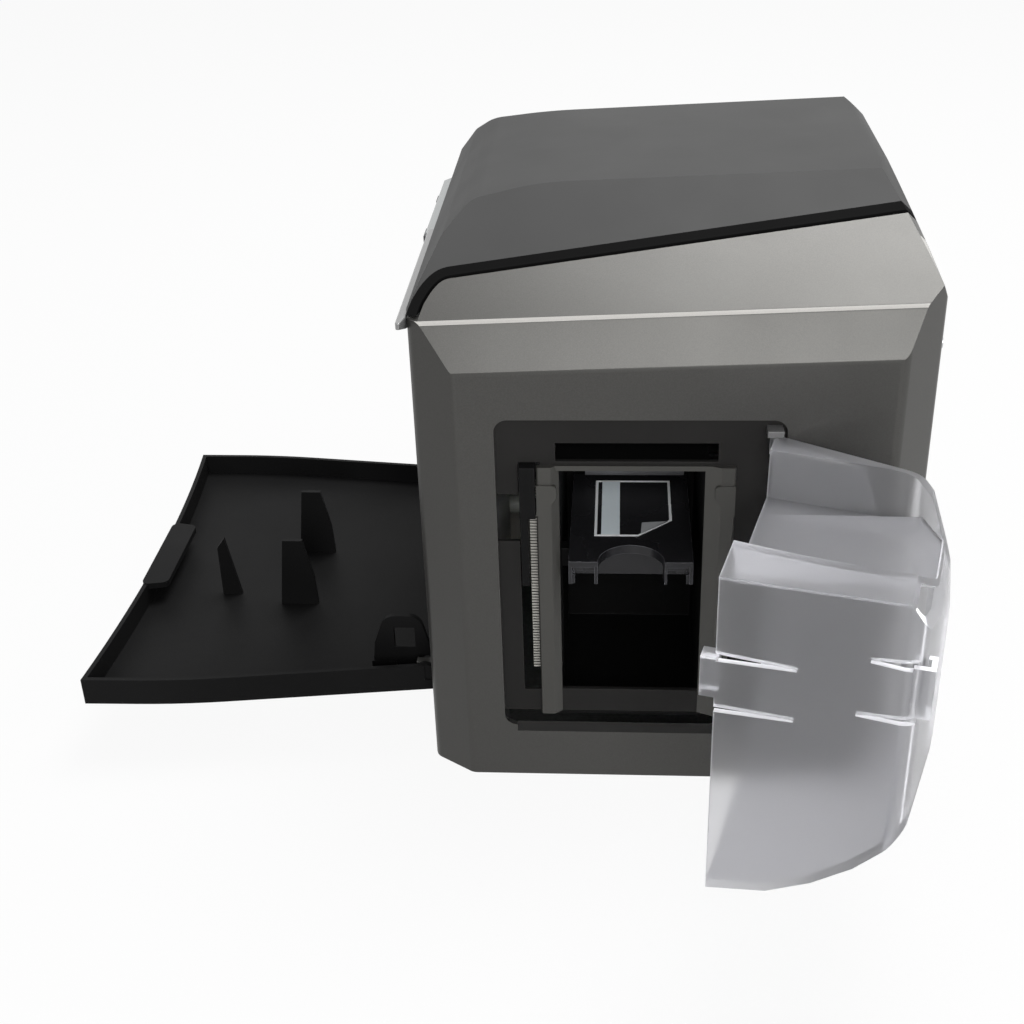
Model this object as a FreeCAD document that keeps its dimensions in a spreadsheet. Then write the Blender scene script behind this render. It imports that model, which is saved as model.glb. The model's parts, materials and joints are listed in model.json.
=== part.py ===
import FreeCAD, Part
import math
import os
import re

import Sketcher

# Id card printer, millimetres. The rear faces +X, the card hopper side faces -Y, +Z is up.
# The origin is the centre of the base pan's underside. The front door and the hopper door
# are modelled open, the top cover closed and the card tray at the top of its lift.

doc = FreeCAD.newDocument("id_card_printer")
sheet = doc.addObject("Spreadsheet::Sheet", "Dims")
values = {}
pieces = []


# Helpers: the sheet, formulas, primitives and outlines

def dims(**named):
    """Put driving dimensions in the sheet, one cell and alias each."""
    for alias, value in named.items():
        cell = "A%d" % (len(values) + 1)
        sheet.set(cell, str(value))
        sheet.setAlias(cell, alias)
        values[alias] = float(value)


def formula(text):
    """A formula written with plain aliases, as FreeCAD reads it."""
    return re.sub(r"[a-z][a-z_]*[a-z]", lambda found: "Dims." + found.group(0)
                  if found.group(0) in values else found.group(0), str(text))


def bind(thing, **settings):
    """Bind properties to formulas; two underscores stand for a dot."""
    for name, text in settings.items():
        thing.setExpression(name.replace("__", "."), formula(text))
    return thing


def block(name, x, y, z):
    """A box between the low and high formulas given for each axis."""
    box = doc.addObject("Part::Box", name)
    bind(box, Length="(%s) - (%s)" % (x[1], x[0]), Width="(%s) - (%s)" % (y[1], y[0]),
         Height="(%s) - (%s)" % (z[1], z[0]))
    return bind(box, Placement__Base__x=x[0], Placement__Base__y=y[0], Placement__Base__z=z[0])


TURNS = {"X": (FreeCAD.Vector(0, 1, 0), 90), "Y": (FreeCAD.Vector(1, 0, 0), -90),
         "Z": (FreeCAD.Vector(0, 0, 1), 0)}


def rod(name, axis, radius, start, length):
    """A cylinder along X, Y or Z from its start point."""
    tube = doc.addObject("Part::Cylinder", name)
    tube.Placement.Rotation = FreeCAD.Rotation(*TURNS[axis])
    bind(tube, Radius=radius, Height=length)
    return bind(tube, Placement__Base__x=start[0], Placement__Base__y=start[1],
                Placement__Base__z=start[2])


def cut(name, base, *tools):
    """The base with the tools taken away."""
    result = doc.addObject("Part::Cut", name)
    result.Base = base
    result.Tool = tools[0] if len(tools) == 1 else join(name + "_tools", *tools)
    return result


def join(name, *shapes):
    """The shapes fused to one solid."""
    result = doc.addObject("Part::MultiFuse", name)
    result.Shapes = list(shapes)
    return result


def shared(name, *shapes):
    """The space that all the shapes fill."""
    result = doc.addObject("Part::MultiCommon", name)
    result.Shapes = list(shapes)
    return result


def group(name, *shapes):
    """Separate solids kept in one node."""
    result = doc.addObject("Part::Compound", name)
    result.Links = list(shapes)
    return result


def piece(thing, label):
    """Name a finished sub-part, which names its file."""
    thing.Label = label
    pieces.append(thing)
    return thing


def outline(body, plane, offset, corners):
    """A closed outline of straight lines whose corners are bound to formulas."""
    sketch = body.newObject("Sketcher::SketchObject", body.Name + "_outline")
    carrier = [item for item in body.Origin.OriginFeatures if item.Role == plane + "_Plane"][0]
    sketch.AttachmentSupport = [(carrier, "")]
    sketch.MapMode = "FlatFace"
    sketch.setExpression("AttachmentOffset.Base.z", formula(offset))
    count = len(corners)
    start = []
    for index in range(count):
        turn = 2 * math.pi * index / count
        start.append(FreeCAD.Vector(90 * math.cos(turn), 90 * math.sin(turn), 0))
    for index in range(count):
        sketch.addGeometry(Part.LineSegment(start[index], start[(index + 1) % count]), False)
    for index in range(count):
        sketch.addConstraint(
            Sketcher.Constraint("Coincident", index, 2, (index + 1) % count, 1))
    for index, corner in enumerate(corners):
        for kind, place, text in zip(("DistanceX", "DistanceY"), start[index], corner):
            number = sketch.addConstraint(Sketcher.Constraint(kind, -1, 1, index, 1, place))
            sketch.setExpression("Constraints[%d]" % number, formula(text))
    return sketch


def prism(name, plane, reach, corners, rounds=()):
    """An outline raised between two planes; rounds lists (corner number, radius formula)."""
    body = doc.addObject("PartDesign::Body", name)
    low, high = reach
    offset = "-(%s)" % high if plane == "XZ" else low
    sketch = outline(body, plane, offset, corners)
    pad = body.newObject("PartDesign::Pad", name + "_pad")
    pad.Profile = sketch
    bind(pad, Length="(%s) - (%s)" % (high, low))
    doc.recompute()
    points = [sketch.getPoint(index, 1) for index in range(len(corners))]
    latest = pad
    for number, radius in rounds:
        edges = upright_edges(latest.Shape, plane, points[number])
        fillet = body.newObject("PartDesign::Fillet", "%s_round_%d" % (name, number))
        fillet.Base = (latest, edges)
        bind(fillet, Radius=radius)
        doc.recompute()
        latest = fillet
    body.Tip = latest
    return body


AXES = {"XY": (0, 1), "XZ": (0, 2), "YZ": (1, 2)}


def upright_edges(shape, plane, point):
    """The names of the edges that stand on an outline's corner."""
    first, second = AXES[plane]
    found = []
    for index, edge in enumerate(shape.Edges, 1):
        ends = [vertex.Point for vertex in edge.Vertexes]
        if len(ends) == 2 and all(math.hypot(end[first] - point.x, end[second] - point.y) < 0.01
                                  for end in ends):
            found.append("Edge%d" % index)
    return found


# Casing: one faceted shell, split along its seams

dims(body_front=-117.5, body_rear=117.5, body_side=145, body_top=287.5, wall=3, seam=0.5,
     front_chamfer_x=20.5, front_chamfer_y=14, rear_chamfer_x=19, rear_chamfer_y=23,
     low_edge=-10, low_crease=223.5, high_crease=244.5, crease_inset=10, crease_tilt=1.95,
     slope_half=48, slope_top=294.2, front_top=245, front_bend_x=13, front_bend_z=266.5,
     front_brow_x=24.5, front_brow_z=277, crown_x=55.5, crown_z=282.3, rear_top=246,
     rear_bend_x=7, rear_bend_z=263, plateau_rear=18.5, bulge_x=99.3, bulge_radius=400,
     crease_round=5, chamfer_round=7, bend_round=12, brow_round=18, crown_round=200,
     ridge_round=6, liner_gap=0.4, tall=320, wide=200)


def envelope(name, inset):
    """The casing's space drawn in by an inset: plan, side and end outlines and the cone
    that rounds the top's rear edge, in common."""
    front = "(body_front + %s)" % inset
    rear = "(body_rear - %s)" % inset
    side = "(body_side - %s)" % inset
    top = "(body_top - %s)" % inset
    low = "-%s" % inset
    plan = prism(name + "_plan", "XY", (low, "body_top + 10"), [
        (front, "%s - front_chamfer_y" % side), (front, "front_chamfer_y - %s" % side),
        ("%s + front_chamfer_x" % front, "-%s" % side),
        ("%s - rear_chamfer_x" % rear, "-%s" % side), (rear, "rear_chamfer_y - %s" % side),
        (rear, "%s - rear_chamfer_y" % side), ("%s - rear_chamfer_x" % rear, side),
        ("%s + front_chamfer_x" % front, side)],
        [(number, "chamfer_round") for number in range(8)])
    profile = prism(name + "_side", "XZ", ("-body_side - 10", "body_side + 10"), [
        (front, low), (rear, low), (rear, "rear_top - %s / 2" % inset),
        ("%s - rear_bend_x" % rear, "rear_bend_z - %s / 2" % inset),
        ("%s - plateau_rear" % rear, top), ("%s + crown_x" % front, "crown_z - %s" % inset),
        ("%s + front_brow_x" % front, "front_brow_z - %s" % inset),
        ("%s + front_bend_x" % front, "front_bend_z - %s" % inset),
        (front, "front_top - %s / 2" % inset)],
        [(4, "ridge_round"), (5, "crown_round"), (6, "brow_round"), (7, "bend_round")])
    half = [(side, "low_edge - %s" % inset), (side, "low_crease - %s / 4" % inset),
            ("%s - crease_inset" % side, "high_crease - %s / 2" % inset),
            ("slope_half - %s" % inset, "slope_top")]
    mirrored = [("-(%s)" % across, up) for across, up in reversed(half)]
    ends = prism(name + "_ends", "YZ", ("body_front - 20", "body_rear + 20"), half + mirrored,
                 [(number, "crease_round") for number in (1, 2, 5, 6)])
    ends.Placement.Rotation = FreeCAD.Rotation(FreeCAD.Vector(0, -1, 0), 1)
    bind(ends, Placement__Rotation__Angle="crease_tilt")
    bulge = doc.addObject("Part::Cone", name + "_bulge")
    bind(bulge, Radius1="bulge_radius + body_top + 10 - 1.4 * %s" % inset,
         Radius2="bulge_radius + body_top - tall - 1.4 * %s" % inset, Height="tall + 10",
         Placement__Base__x="bulge_x - bulge_radius", Placement__Base__z="-10")
    return shared(name, plan, profile, ends, bulge)


outer = envelope("casing_outer", "0")
inner = envelope("casing_inner", "wall")
lining = envelope("casing_lining", "(wall + liner_gap)")
shell = cut("casing_shell", outer, inner)

dims(cover_low=243, cover_rear=110, seam_rear_half=82.4, seam_bend_x=12, seam_bend_half=108,
     seam_curve_x=5.5, seam_curve_half=116, seam_tip_x=2, seam_tip_half=123.3,
     seam_flare_x=-12, seam_flare_half=175.5, seam_bend_round=14, seam_curve_round=30,
     seam_tip_round=20, gasket_width=4.5, gasket_rear=2, cover_gap=1.5)


def cover_plan(name, grow, low, rear):
    """The space over the cover's seam, widened square to it by grow."""
    half = []
    for corner, along, across in (("flare", 0.97, 0.26), ("tip", 0.94, 0.35),
                                  ("curve", 0.85, 0.54), ("bend", 0.52, 0.95)):
        half.append(("body_front + seam_%s_x + %g * %s" % (corner, along, grow),
                     "seam_%s_half + %g * %s" % (corner, across, grow)))
    half.append((rear, "seam_rear_half + %s" % grow))
    mirrored = [(along, "-(%s)" % across) for along, across in reversed(half)]
    rounds = []
    for corner, first, second in (("tip", 1, 8), ("curve", 2, 7), ("bend", 3, 6)):
        rounds.append((first, "seam_%s_round - %s" % (corner, grow)))
        rounds.append((second, "seam_%s_round - %s" % (corner, grow)))
    return prism(name, "XY", (low, "tall"), half + mirrored, rounds)


cover_space = cover_plan("cover_space", "0", "cover_low", "cover_rear")
gasket_space = cover_plan("gasket_space", "gasket_width", "cover_low",
                          "cover_rear + gasket_rear")
cover_opening = cover_plan("cover_opening", "(gasket_width + cover_gap)", "cover_low - cover_gap",
                           "cover_rear + gasket_rear + cover_gap")
sides_shell = cut("sides_shell", shell, cover_opening)

dims(frame_half=129.5, rear_half=119, rear_seam_x=113.9, rear_seam_z=243.5, rear_lip_x=110.5,
     rear_lip_half=88)


def front_part(name, grow):
    """The flat front face between the chamfers."""
    half = "(frame_half + %s)" % grow
    return block(name, ("body_front - 1", "body_front + wall + 0.2"), ("-" + half, half),
                 ("-1", "tall"))


def rear_part(name, grow):
    """The rear face between the chamfered corners, with the lip over it."""
    half = "(rear_half + %s)" % grow
    lip = "(rear_lip_half + %s)" % grow
    return join(name, block(name + "_face", ("rear_seam_x - %s" % grow, "body_rear + 1"),
                            ("-" + half, half), ("-1", "rear_seam_z + %s" % grow)),
                block(name + "_lip", ("rear_lip_x - %s" % grow, "body_rear + 1"),
                      ("-" + lip, lip), ("rear_seam_z - 1", "tall")))


side_walls = cut("side_walls", sides_shell, front_part("front_gap", "seam"),
                 rear_part("rear_gap", "seam"))

# Hopper side panel, with the opening over the card hopper

dims(bezel_left=-79.6, bezel_right=50, bezel_low=31, bezel_high=199, bezel_round=6,
     ledge_slope=4)
opening = prism("hopper_opening", "XZ", ("-body_side - 5", "-body_side + wall + 1"), [
    ("bezel_left", "bezel_low"), ("bezel_right", "bezel_low"), ("bezel_right", "bezel_high"),
    ("bezel_left", "bezel_high")], [(number, "bezel_round") for number in (0, 1, 2, 3)])
ledge = prism("ledge_bevel", "YZ", ("bezel_left + bezel_round", "bezel_right - bezel_round"), [
    ("-body_side - 1", "bezel_low - ledge_slope"), ("-body_side", "bezel_low - ledge_slope"),
    ("-body_side + wall", "bezel_low"), ("-body_side + wall", "bezel_low + 1"),
    ("-body_side - 1", "bezel_low + 1")])
near_half = block("near_half", ("-wide", "wide"), ("-wide", "0"), ("-10", "tall"))
far_half = block("far_half", ("-wide", "wide"), ("0", "wide"), ("-10", "tall"))
piece(cut("near_panel", shared("near_wall", side_walls, near_half), opening, ledge),
      "hopper_side_panel")

# Far side panel, with its row of vents

dims(vent_count=12, vent_pitch=9, vent_wide=4, vent_low=40, vent_high=78, vent_first=-30)
vents = []
for number in range(int(values["vent_count"])):
    left = "vent_first + %d * vent_pitch" % number
    vents.append(block("vent_%d" % number, (left, left + " + vent_wide"),
                       ("body_side - wall - 1", "body_side + 1"), ("vent_low", "vent_high")))
piece(cut("far_panel", shared("far_wall", side_walls, far_half), *vents), "far_side_panel")

# Front frame with the door opening, the latch notch, the stay slot and the hinge lugs

dims(bay_half=108, bay_low=46, bay_high=200, notch_half=39, notch_high=211, stay_y=-96.5,
     stay_thick=3, stay_gap=2, stay_slot_low=30.5, door_hinge_x=-124, door_hinge_z=35.5,
     lug_near=101.5, lug_far=106, lug_out=-128.5, lug_low=31.5, lug_high=40.5, door_pin=2.5,
     pin_end=109.1, running_gap=0.06, card_path=127.5)
frame_openings = [
    block("bay_opening", ("body_front - 1", "body_front + wall + 1"), ("-bay_half", "bay_half"),
          ("bay_low", "bay_high")),
    block("latch_notch", ("body_front - 1", "body_front + wall + 1"),
          ("-notch_half", "notch_half"), ("bay_high - 1", "notch_high")),
    block("stay_slot", ("body_front - 1", "body_front + wall + 1"),
          ("stay_y - stay_gap", "stay_y + stay_thick + stay_gap"),
          ("stay_slot_low", "bay_low + 1"))]
lugs = []
pins = []
for name, low, high in (("near", "-lug_far", "-lug_near"), ("far", "lug_near", "lug_far")):
    lugs.append(block(name + "_lug", ("lug_out", "body_front + 0.5"), (low, high),
                      ("lug_low", "lug_high")))
pins.append(rod("near_door_pin", "Y", "door_pin", ("door_hinge_x", "-pin_end", "door_hinge_z"),
                "pin_end - lug_near"))
pins.append(rod("far_door_pin", "Y", "door_pin", ("door_hinge_x", "lug_near", "door_hinge_z"),
                "pin_end - lug_near"))
lug_bore = rod("lug_bore", "Y", "door_pin", ("door_hinge_x", "-pin_end", "door_hinge_z"),
               "2 * pin_end")
front_flat = cut("front_flat", shared("front_blank", sides_shell, front_part("front_face", "0")),
                 *frame_openings)
piece(cut("front_frame_body", join("front_frame_lugs", front_flat, *lugs), lug_bore),
      "front_frame")
piece(group("door_pins", *pins), "front_door_pins")

# Rear panel, with the sockets, the switch and the fan grille

dims(fan_y=-20, fan_z=150, fan_radius=36, grille_count=8, grille_pitch=9, grille_wide=4.5,
     inlet_y=60, inlet_z=18, inlet_wide=28, inlet_high=22, switch_y=94, switch_wide=14,
     data_y=-92, data_z=20, usb_wide=14, usb_high=13, network_wide=17, network_high=15,
     data_gap=10, socket_clear=0.3)


def rear_window(name, near, far, low, high):
    """A window through the rear wall."""
    return block(name, ("body_rear - wall - 1", "body_rear + 1"), (near, far), (low, high))


rear_windows = [
    rear_window("inlet_window", "inlet_y - socket_clear", "inlet_y + inlet_wide + socket_clear",
                "inlet_z - socket_clear", "inlet_z + inlet_high + socket_clear"),
    rear_window("switch_window", "switch_y - socket_clear",
                "switch_y + switch_wide + socket_clear", "inlet_z - socket_clear",
                "inlet_z + inlet_high + socket_clear"),
    rear_window("usb_window", "data_y - socket_clear", "data_y + usb_wide + socket_clear",
                "data_z - socket_clear", "data_z + usb_high + socket_clear"),
    rear_window("network_window", "data_y + usb_wide + data_gap - socket_clear",
                "data_y + usb_wide + data_gap + network_wide + socket_clear",
                "data_z - socket_clear", "data_z + network_high + socket_clear")]
slots = []
for number in range(int(values["grille_count"])):
    low = "fan_z + (%d - grille_count / 2 + 0.5) * grille_pitch - grille_wide / 2" % number
    slots.append(rear_window("grille_%d" % number, "fan_y - fan_radius", "fan_y + fan_radius",
                             low, low + " + grille_wide"))
dims(screw_y=112, screw_low=45, screw_high=222, screw_hole=1.7, screw_shank=1.5,
     screw_head=3, screw_head_thick=1.8, screw_length=9)
screw_places = [(side + "screw_y", height) for side in ("-", "")
                for height in ("screw_low", "screw_high")]
for number, (across, up) in enumerate(screw_places):
    rear_windows.append(rod("screw_hole_%d" % number, "X", "screw_hole",
                            ("body_rear - wall - 1", across, up), "wall + 2"))
grille_disc = rod("grille_disc", "X", "fan_radius", ("body_rear - wall - 1", "fan_y", "fan_z"),
                  "wall + 2")
grille = shared("fan_grille", join("grille_slots", *slots), grille_disc)
piece(cut("rear_wall", shared("rear_blank", sides_shell, rear_part("rear_face", "0")),
          *rear_windows, grille), "rear_panel")

# Base pan with a raised pad at its centre, and feet

dims(pan_low=0.8, pan_thick=2.5, pad_radius=30, foot_radius=9, foot_height=6, foot_x=92,
     foot_y=118)
pan_slab = block("pan_slab", ("-wide", "wide"), ("-wide", "wide"), ("pan_low", "pan_thick"))
pan_pad = rod("pan_pad", "Z", "pad_radius", ("0", "0", "0"), "pan_thick")
piece(join("pan_with_pad", shared("pan", lining, pan_slab), pan_pad), "base_pan")
feet = []
for number, (side_x, side_y) in enumerate(((-1, -1), (1, -1), (1, 1), (-1, 1))):
    feet.append(rod("foot_%d" % number, "Z", "foot_radius",
                    ("%d * foot_x" % side_x, "%d * foot_y" % side_y, "-foot_height"),
                    "foot_height + pan_low"))
piece(group("feet", *feet), "rubber_feet")

# Top cover with its gasket, hinge knuckles and fixed brackets

dims(pivot_x=98, pivot_z=264, cover_pin=2, cover_knuckle=4.2, knuckle_near=58,
     knuckle_far=66, bracket_near=66.6, bracket_far=69.6, bracket_front=82, bracket_low=228,
     bracket_boss=3.2, bracket_leg=12)
knuckles = []
brackets = []
for name, side in (("near", -1), ("far", 1)):
    inner_faces = ("-knuckle_far", "-knuckle_near") if side < 0 else ("knuckle_near",
                                                                      "knuckle_far")
    knuckles.append(rod(name + "_knuckle", "Y", "cover_knuckle",
                        ("pivot_x", inner_faces[0], "pivot_z"), "knuckle_far - knuckle_near"))
    knuckles.append(block(name + "_web", ("pivot_x - 6", "pivot_x - 2"),
                          inner_faces, ("pivot_z", "body_top - wall + 0.5")))
    plate_faces = ("-bracket_far", "-bracket_near") if side < 0 else ("bracket_near",
                                                                      "bracket_far")
    boss = rod(name + "_boss", "Y", "bracket_boss", ("pivot_x", plate_faces[0], "pivot_z"),
               "bracket_far - bracket_near")
    arm = block(name + "_arm", ("bracket_front", "pivot_x"), plate_faces,
                ("pivot_z - bracket_boss", "pivot_z + bracket_boss"))
    post = block(name + "_post", ("bracket_front", "bracket_front + 7"), plate_faces,
                 ("bracket_low", "pivot_z + bracket_boss"))
    leg = block(name + "_leg", ("bracket_front", "body_rear - wall"), plate_faces,
                ("bracket_low", "bracket_low + bracket_leg"))
    pin_start = "-bracket_far" if side < 0 else "knuckle_near"
    pin = rod(name + "_cover_pin", "Y", "cover_pin", ("pivot_x", pin_start, "pivot_z"),
              "bracket_far - knuckle_near")
    brackets.append(join(name + "_bracket", boss, arm, post, leg, pin))
knuckle_bore = rod("knuckle_bore", "Y", "cover_pin + running_gap",
                   ("pivot_x", "-knuckle_far - 1", "pivot_z"), "2 * knuckle_far + 2")
cover_skin = shared("cover_skin", shell, cover_space)
piece(cut("cover", join("cover_with_knuckles", cover_skin, *knuckles), knuckle_bore),
      "top_cover")
piece(group("cover_brackets", *brackets), "cover_hinge_brackets")
gasket_ring = cut("gasket_ring", gasket_space, cover_space)
piece(shared("gasket", shell, gasket_ring), "cover_gasket")


# Card hopper: bezel, well, guide posts and rack

dims(plate_left=-83.5, plate_right=52, plate_low=38, plate_high=203, plate_thick=2.5,
     tab_left=30, tab_low=27, feed_left=-52.5, feed_right=20.5, feed_low=177, feed_high=186.2,
     well_left=-51, well_right=15, well_low=51, well_high=172.8, well_back=-50, well_floor=36,
     liner=2, latch_left=-81, latch_right=-69, latch_low=135.1, latch_high=160,
     channel_left=-69.5, channel_right=-59.5, channel_low=50.5, channel_high=176.5,
     arm_slot_low=48, arm_slot_front=-130, arm_slot_back=-117)
face = "(wall - body_side)"
back = "(wall - body_side + plate_thick)"


def through_plate(name, x, z):
    """A window through the hopper's face plate."""
    return block(name, x, (face + " - 1", back + " + 1"), z)


face_plate = prism("face_plate", "XZ", (face, back), [
    ("plate_left", "plate_low"), ("tab_left", "plate_low"), ("tab_left", "tab_low"),
    ("plate_right", "tab_low"), ("plate_right", "plate_high"), ("plate_left", "plate_high")])
piece(cut("bezel", face_plate,
          through_plate("feed_slot", ("feed_left", "feed_right"), ("feed_low", "feed_high")),
          through_plate("well_mouth", ("well_left", "well_right"), ("well_low", "well_high")),
          through_plate("latch_hole", ("latch_left", "latch_right"), ("latch_low", "latch_high")),
          through_plate("rack_channel", ("channel_left", "channel_right"),
                        ("channel_low", "channel_high"))), "hopper_bezel")

dims(shaft_radius=3, pick_y=-61, pick_z=137)
well_outside = block("well_outside", ("well_left - liner", "well_right + liner"),
                     (back, "well_back"), ("well_floor - liner", "well_high + liner"))
well_inside = block("well_inside", ("well_left", "well_right"),
                    (back + " - 1", "well_back - liner"), ("well_floor", "well_high"))
arm_slot = block("arm_slot", ("well_left - liner - 1", "well_left + 1"),
                 ("arm_slot_front", "arm_slot_back"), ("arm_slot_low", "well_high - 40"))
card_slot = block("card_slot", ("well_left + 3", "well_right - 3"),
                  ("well_back - liner - 1", "well_back + 1"), ("card_path - 3", "card_path + 4"))
shaft_hole = rod("well_shaft_hole", "X", "shaft_radius + 1.5",
                 ("well_left - liner - 1", "pick_y", "pick_z"), "well_right - well_left + 6")
piece(cut("well", well_outside, well_inside, arm_slot, card_slot, shaft_hole), "hopper_well")

dims(left_post=-61.2, left_crest=-54.5, right_post=28.5, right_crest=22, post_low=38,
     post_high=175.3, post_front=-145, post_edge=1.2, post_crest=2, ear_front=-146,
     ear_reach=9, ear_foot=2.5, ear_low=151, ear_bulge=160, ear_high=166.5, ear_round=5,
     ear_corner=2, arch_thick=2.4, arch_front=-143.2)


def guide_post(name, outer, crest, mouth, toward):
    """An upright column with a sloped flank to the mouth, and a leaf-shaped ear at its top."""
    column = prism(name, "XY", ("post_low", "post_high"), [
        (outer, face), (outer, "post_front"), (crest, "post_front"), (mouth, face)],
        [(1, "post_edge"), (2, "post_crest")])
    inner_edge = "%s + %d * ear_reach" % (outer, toward)
    ear = prism(name + "_ear", "XZ", ("ear_front", face), [
        (outer, "ear_low"), ("%s + %d * ear_foot" % (outer, toward), "ear_low"),
        (inner_edge, "ear_bulge"), (inner_edge, "ear_high"), (outer, "ear_high")],
        [(2, "ear_round"), (3, "ear_corner")])
    return [column, ear]


post_parts = guide_post("left_guide", "left_post", "left_crest", "well_left", 1)
post_parts += guide_post("right_guide", "right_post", "right_crest", "well_right", -1)
arch = block("arch_bar", ("left_post", "right_post"), ("arch_front", face),
             ("post_high - arch_thick", "post_high"))
piece(join("posts", arch, *post_parts), "guide_posts")

dims(rack_left=-65.1, rack_right=-61.9, rack_low=60.2, rack_face=-136.2, rack_depth=3,
     rack_teeth=68, pinion_teeth=16, pinion_z=162, tooth_wide=0.5, tooth_high=0.9,
     tooth_pitch=1.5708, pinion_tip=4.4, pinion_root=3.4, pinion_pin=1, carriage_left=-69,
     carriage_right=-61.7, carriage_low=149.5, carriage_high=175.8, carriage_front=-146.5,
     carriage_back=-137.2, carriage_wall=3.6, arm_front=-126, arm_back=-119, arm_low=112,
     arm_high=122)

rack_parts = [
    block("rack_bar", ("rack_left", "rack_right"), ("rack_face", "rack_face + rack_depth"),
          ("rack_low", "rack_low + rack_teeth * tooth_pitch")),
    block("rack_flange", ("rack_right - 1", "well_left - liner"),
          ("rack_face + rack_depth - 2", "rack_face + rack_depth"),
          ("rack_low", "rack_low + rack_teeth * tooth_pitch"))]
for number in range(int(values["rack_teeth"])):
    centre = "pinion_z + (3 - %d) * tooth_pitch" % number
    rack_parts.append(block("rack_tooth_%d" % number, ("rack_left", "rack_right"),
                            ("rack_face - tooth_high", "rack_face + 0.5"),
                            (centre + " - tooth_wide / 2", centre + " + tooth_wide / 2")))
piece(join("rack", *rack_parts), "lift_rack")

# Lift carriage with its damper pinion, which rolls on the rack

dims(tray_left=-47, tray_right=10.8, tray_front=-145, tray_back=-57, tray_top=126,
     tray_thick=3, foot_wide=13.6, foot_tall=9, foot_wall=1.6, foot_deep=14, rim_tall=4.5,
     notch_radius=15.6, notch_middle=-17.9, apron_y=-113, apron_low=100, skirt_thick=2.5,
     skirt_low=108, label_high=0.2, label_line=1.3)
pinion_y = "(rack_face - 4.5)"
pinion_corners = []
for number in range(int(values["pinion_teeth"])):
    middle = 90 + (number + 0.5) * 360 / values["pinion_teeth"]
    for radius, turn in (("pinion_root", -4.4), ("pinion_tip", -3), ("pinion_tip", 3),
                         ("pinion_root", 4.4)):
        pinion_corners.append(("%s + %s * sin(%g)" % (pinion_y, radius, middle + turn),
                               "pinion_z - %s * cos(%g)" % (radius, middle + turn)))
pinion_blank = prism("pinion_blank", "YZ", ("rack_left + 0.3", "rack_right - 0.3"),
                     pinion_corners)
pinion_bore = rod("pinion_bore", "X", "pinion_pin + running_gap",
                  ("rack_left", pinion_y, "pinion_z"), "6")
piece(cut("pinion", pinion_blank, pinion_bore), "damper_pinion")

carriage_block = block("carriage_block", ("carriage_left", "carriage_right"),
                       ("carriage_front", "carriage_back"), ("carriage_low", "carriage_high"))
carriage_pocket = block("carriage_pocket", ("carriage_left + carriage_wall",
                                            "carriage_right + 1"),
                        (pinion_y + " - pinion_tip - 0.6", "carriage_back + 1"),
                        ("pinion_z - pinion_tip - 1", "pinion_z + pinion_tip + 1"))
carriage_side = block("carriage_side", ("carriage_left", "carriage_left + carriage_wall"),
                      ("carriage_front + 2", "arm_back"), ("arm_low", "carriage_high"))
carriage_arm = block("carriage_arm", ("carriage_left", "tray_left"), ("arm_front", "arm_back"),
                     ("arm_low", "arm_high"))
carriage_pin = rod("carriage_pin", "X", "pinion_pin",
                   ("carriage_left + 1", pinion_y, "pinion_z"),
                   "rack_right - carriage_left - 1")

# Input tray: a plate on side skirts, with hollow feet, a thumb notch and an apron

plate = block("tray_plate", ("tray_left", "tray_right"), ("tray_front", "tray_back"),
              ("tray_top - tray_thick", "tray_top"))
thumb = rod("thumb_notch", "Z", "notch_radius", ("notch_middle", "tray_front", "tray_top - 20"),
            "30")
thumb_wall = shared("thumb_wall", rod("thumb_wall_disc", "Z", "notch_radius + skirt_thick",
                                      ("notch_middle", "tray_front", "tray_top - rim_tall"),
                                      "rim_tall"),
                    block("thumb_wall_space", ("tray_left", "tray_right"),
                          ("tray_front", "tray_back"), ("0", "tall")))
tray_feet = []
tray_holes = []
for name, left in (("left", "tray_left"), ("right", "tray_right - foot_wide")):
    tray_feet.append(block(name + "_tray_foot", (left, left + " + foot_wide"),
                           ("tray_front", "tray_front + foot_deep"),
                           ("tray_top - tray_thick - foot_tall", "tray_top")))
    tray_holes.append(block(name + "_tray_hole", (left + " + foot_wall",
                                                  left + " + foot_wide - foot_wall"),
                            ("tray_front - 1", "tray_front + foot_deep - 2"),
                            ("tray_top - tray_thick - foot_tall - 1", "tray_top - tray_thick")))
skirts = [block("left_skirt", ("tray_left", "tray_left + skirt_thick"),
                ("tray_front + 10", "tray_back"), ("skirt_low", "tray_top")),
          block("right_skirt", ("tray_right - skirt_thick", "tray_right"),
                ("tray_front + 10", "tray_back"), ("skirt_low", "tray_top")),
          block("apron", ("tray_left", "tray_right"), ("apron_y", "apron_y + skirt_thick"),
                ("apron_low", "tray_top"))]
tray_blank = join("tray_blank", plate, thumb_wall, *(tray_feet + skirts))
piece(cut("tray", tray_blank, thumb, *tray_holes), "input_tray")
piece(join("carriage", cut("carriage_shell", join("carriage_frame", carriage_block, carriage_side),
                           carriage_pocket), carriage_arm, carriage_pin), "lift_carriage")

dims(label_left=-35.5, label_right=2, label_front=-121, label_back=-65, stripe_left=-32.2,
     stripe_right=-23.3, fold_x=-14.2, fold_y=-106)


def label_outline(name, inset):
    """The card outline with its turned-up corner."""
    return prism(name, "XY", ("tray_top", "tray_top + label_high"), [
        ("label_left + %s" % inset, "label_front + %s" % inset),
        ("fold_x - %s / 3" % inset, "label_front + %s" % inset),
        ("label_right - %s" % inset, "fold_y + %s / 2" % inset),
        ("label_right - %s" % inset, "label_back - %s" % inset),
        ("label_left + %s" % inset, "label_back - %s" % inset)])


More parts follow.
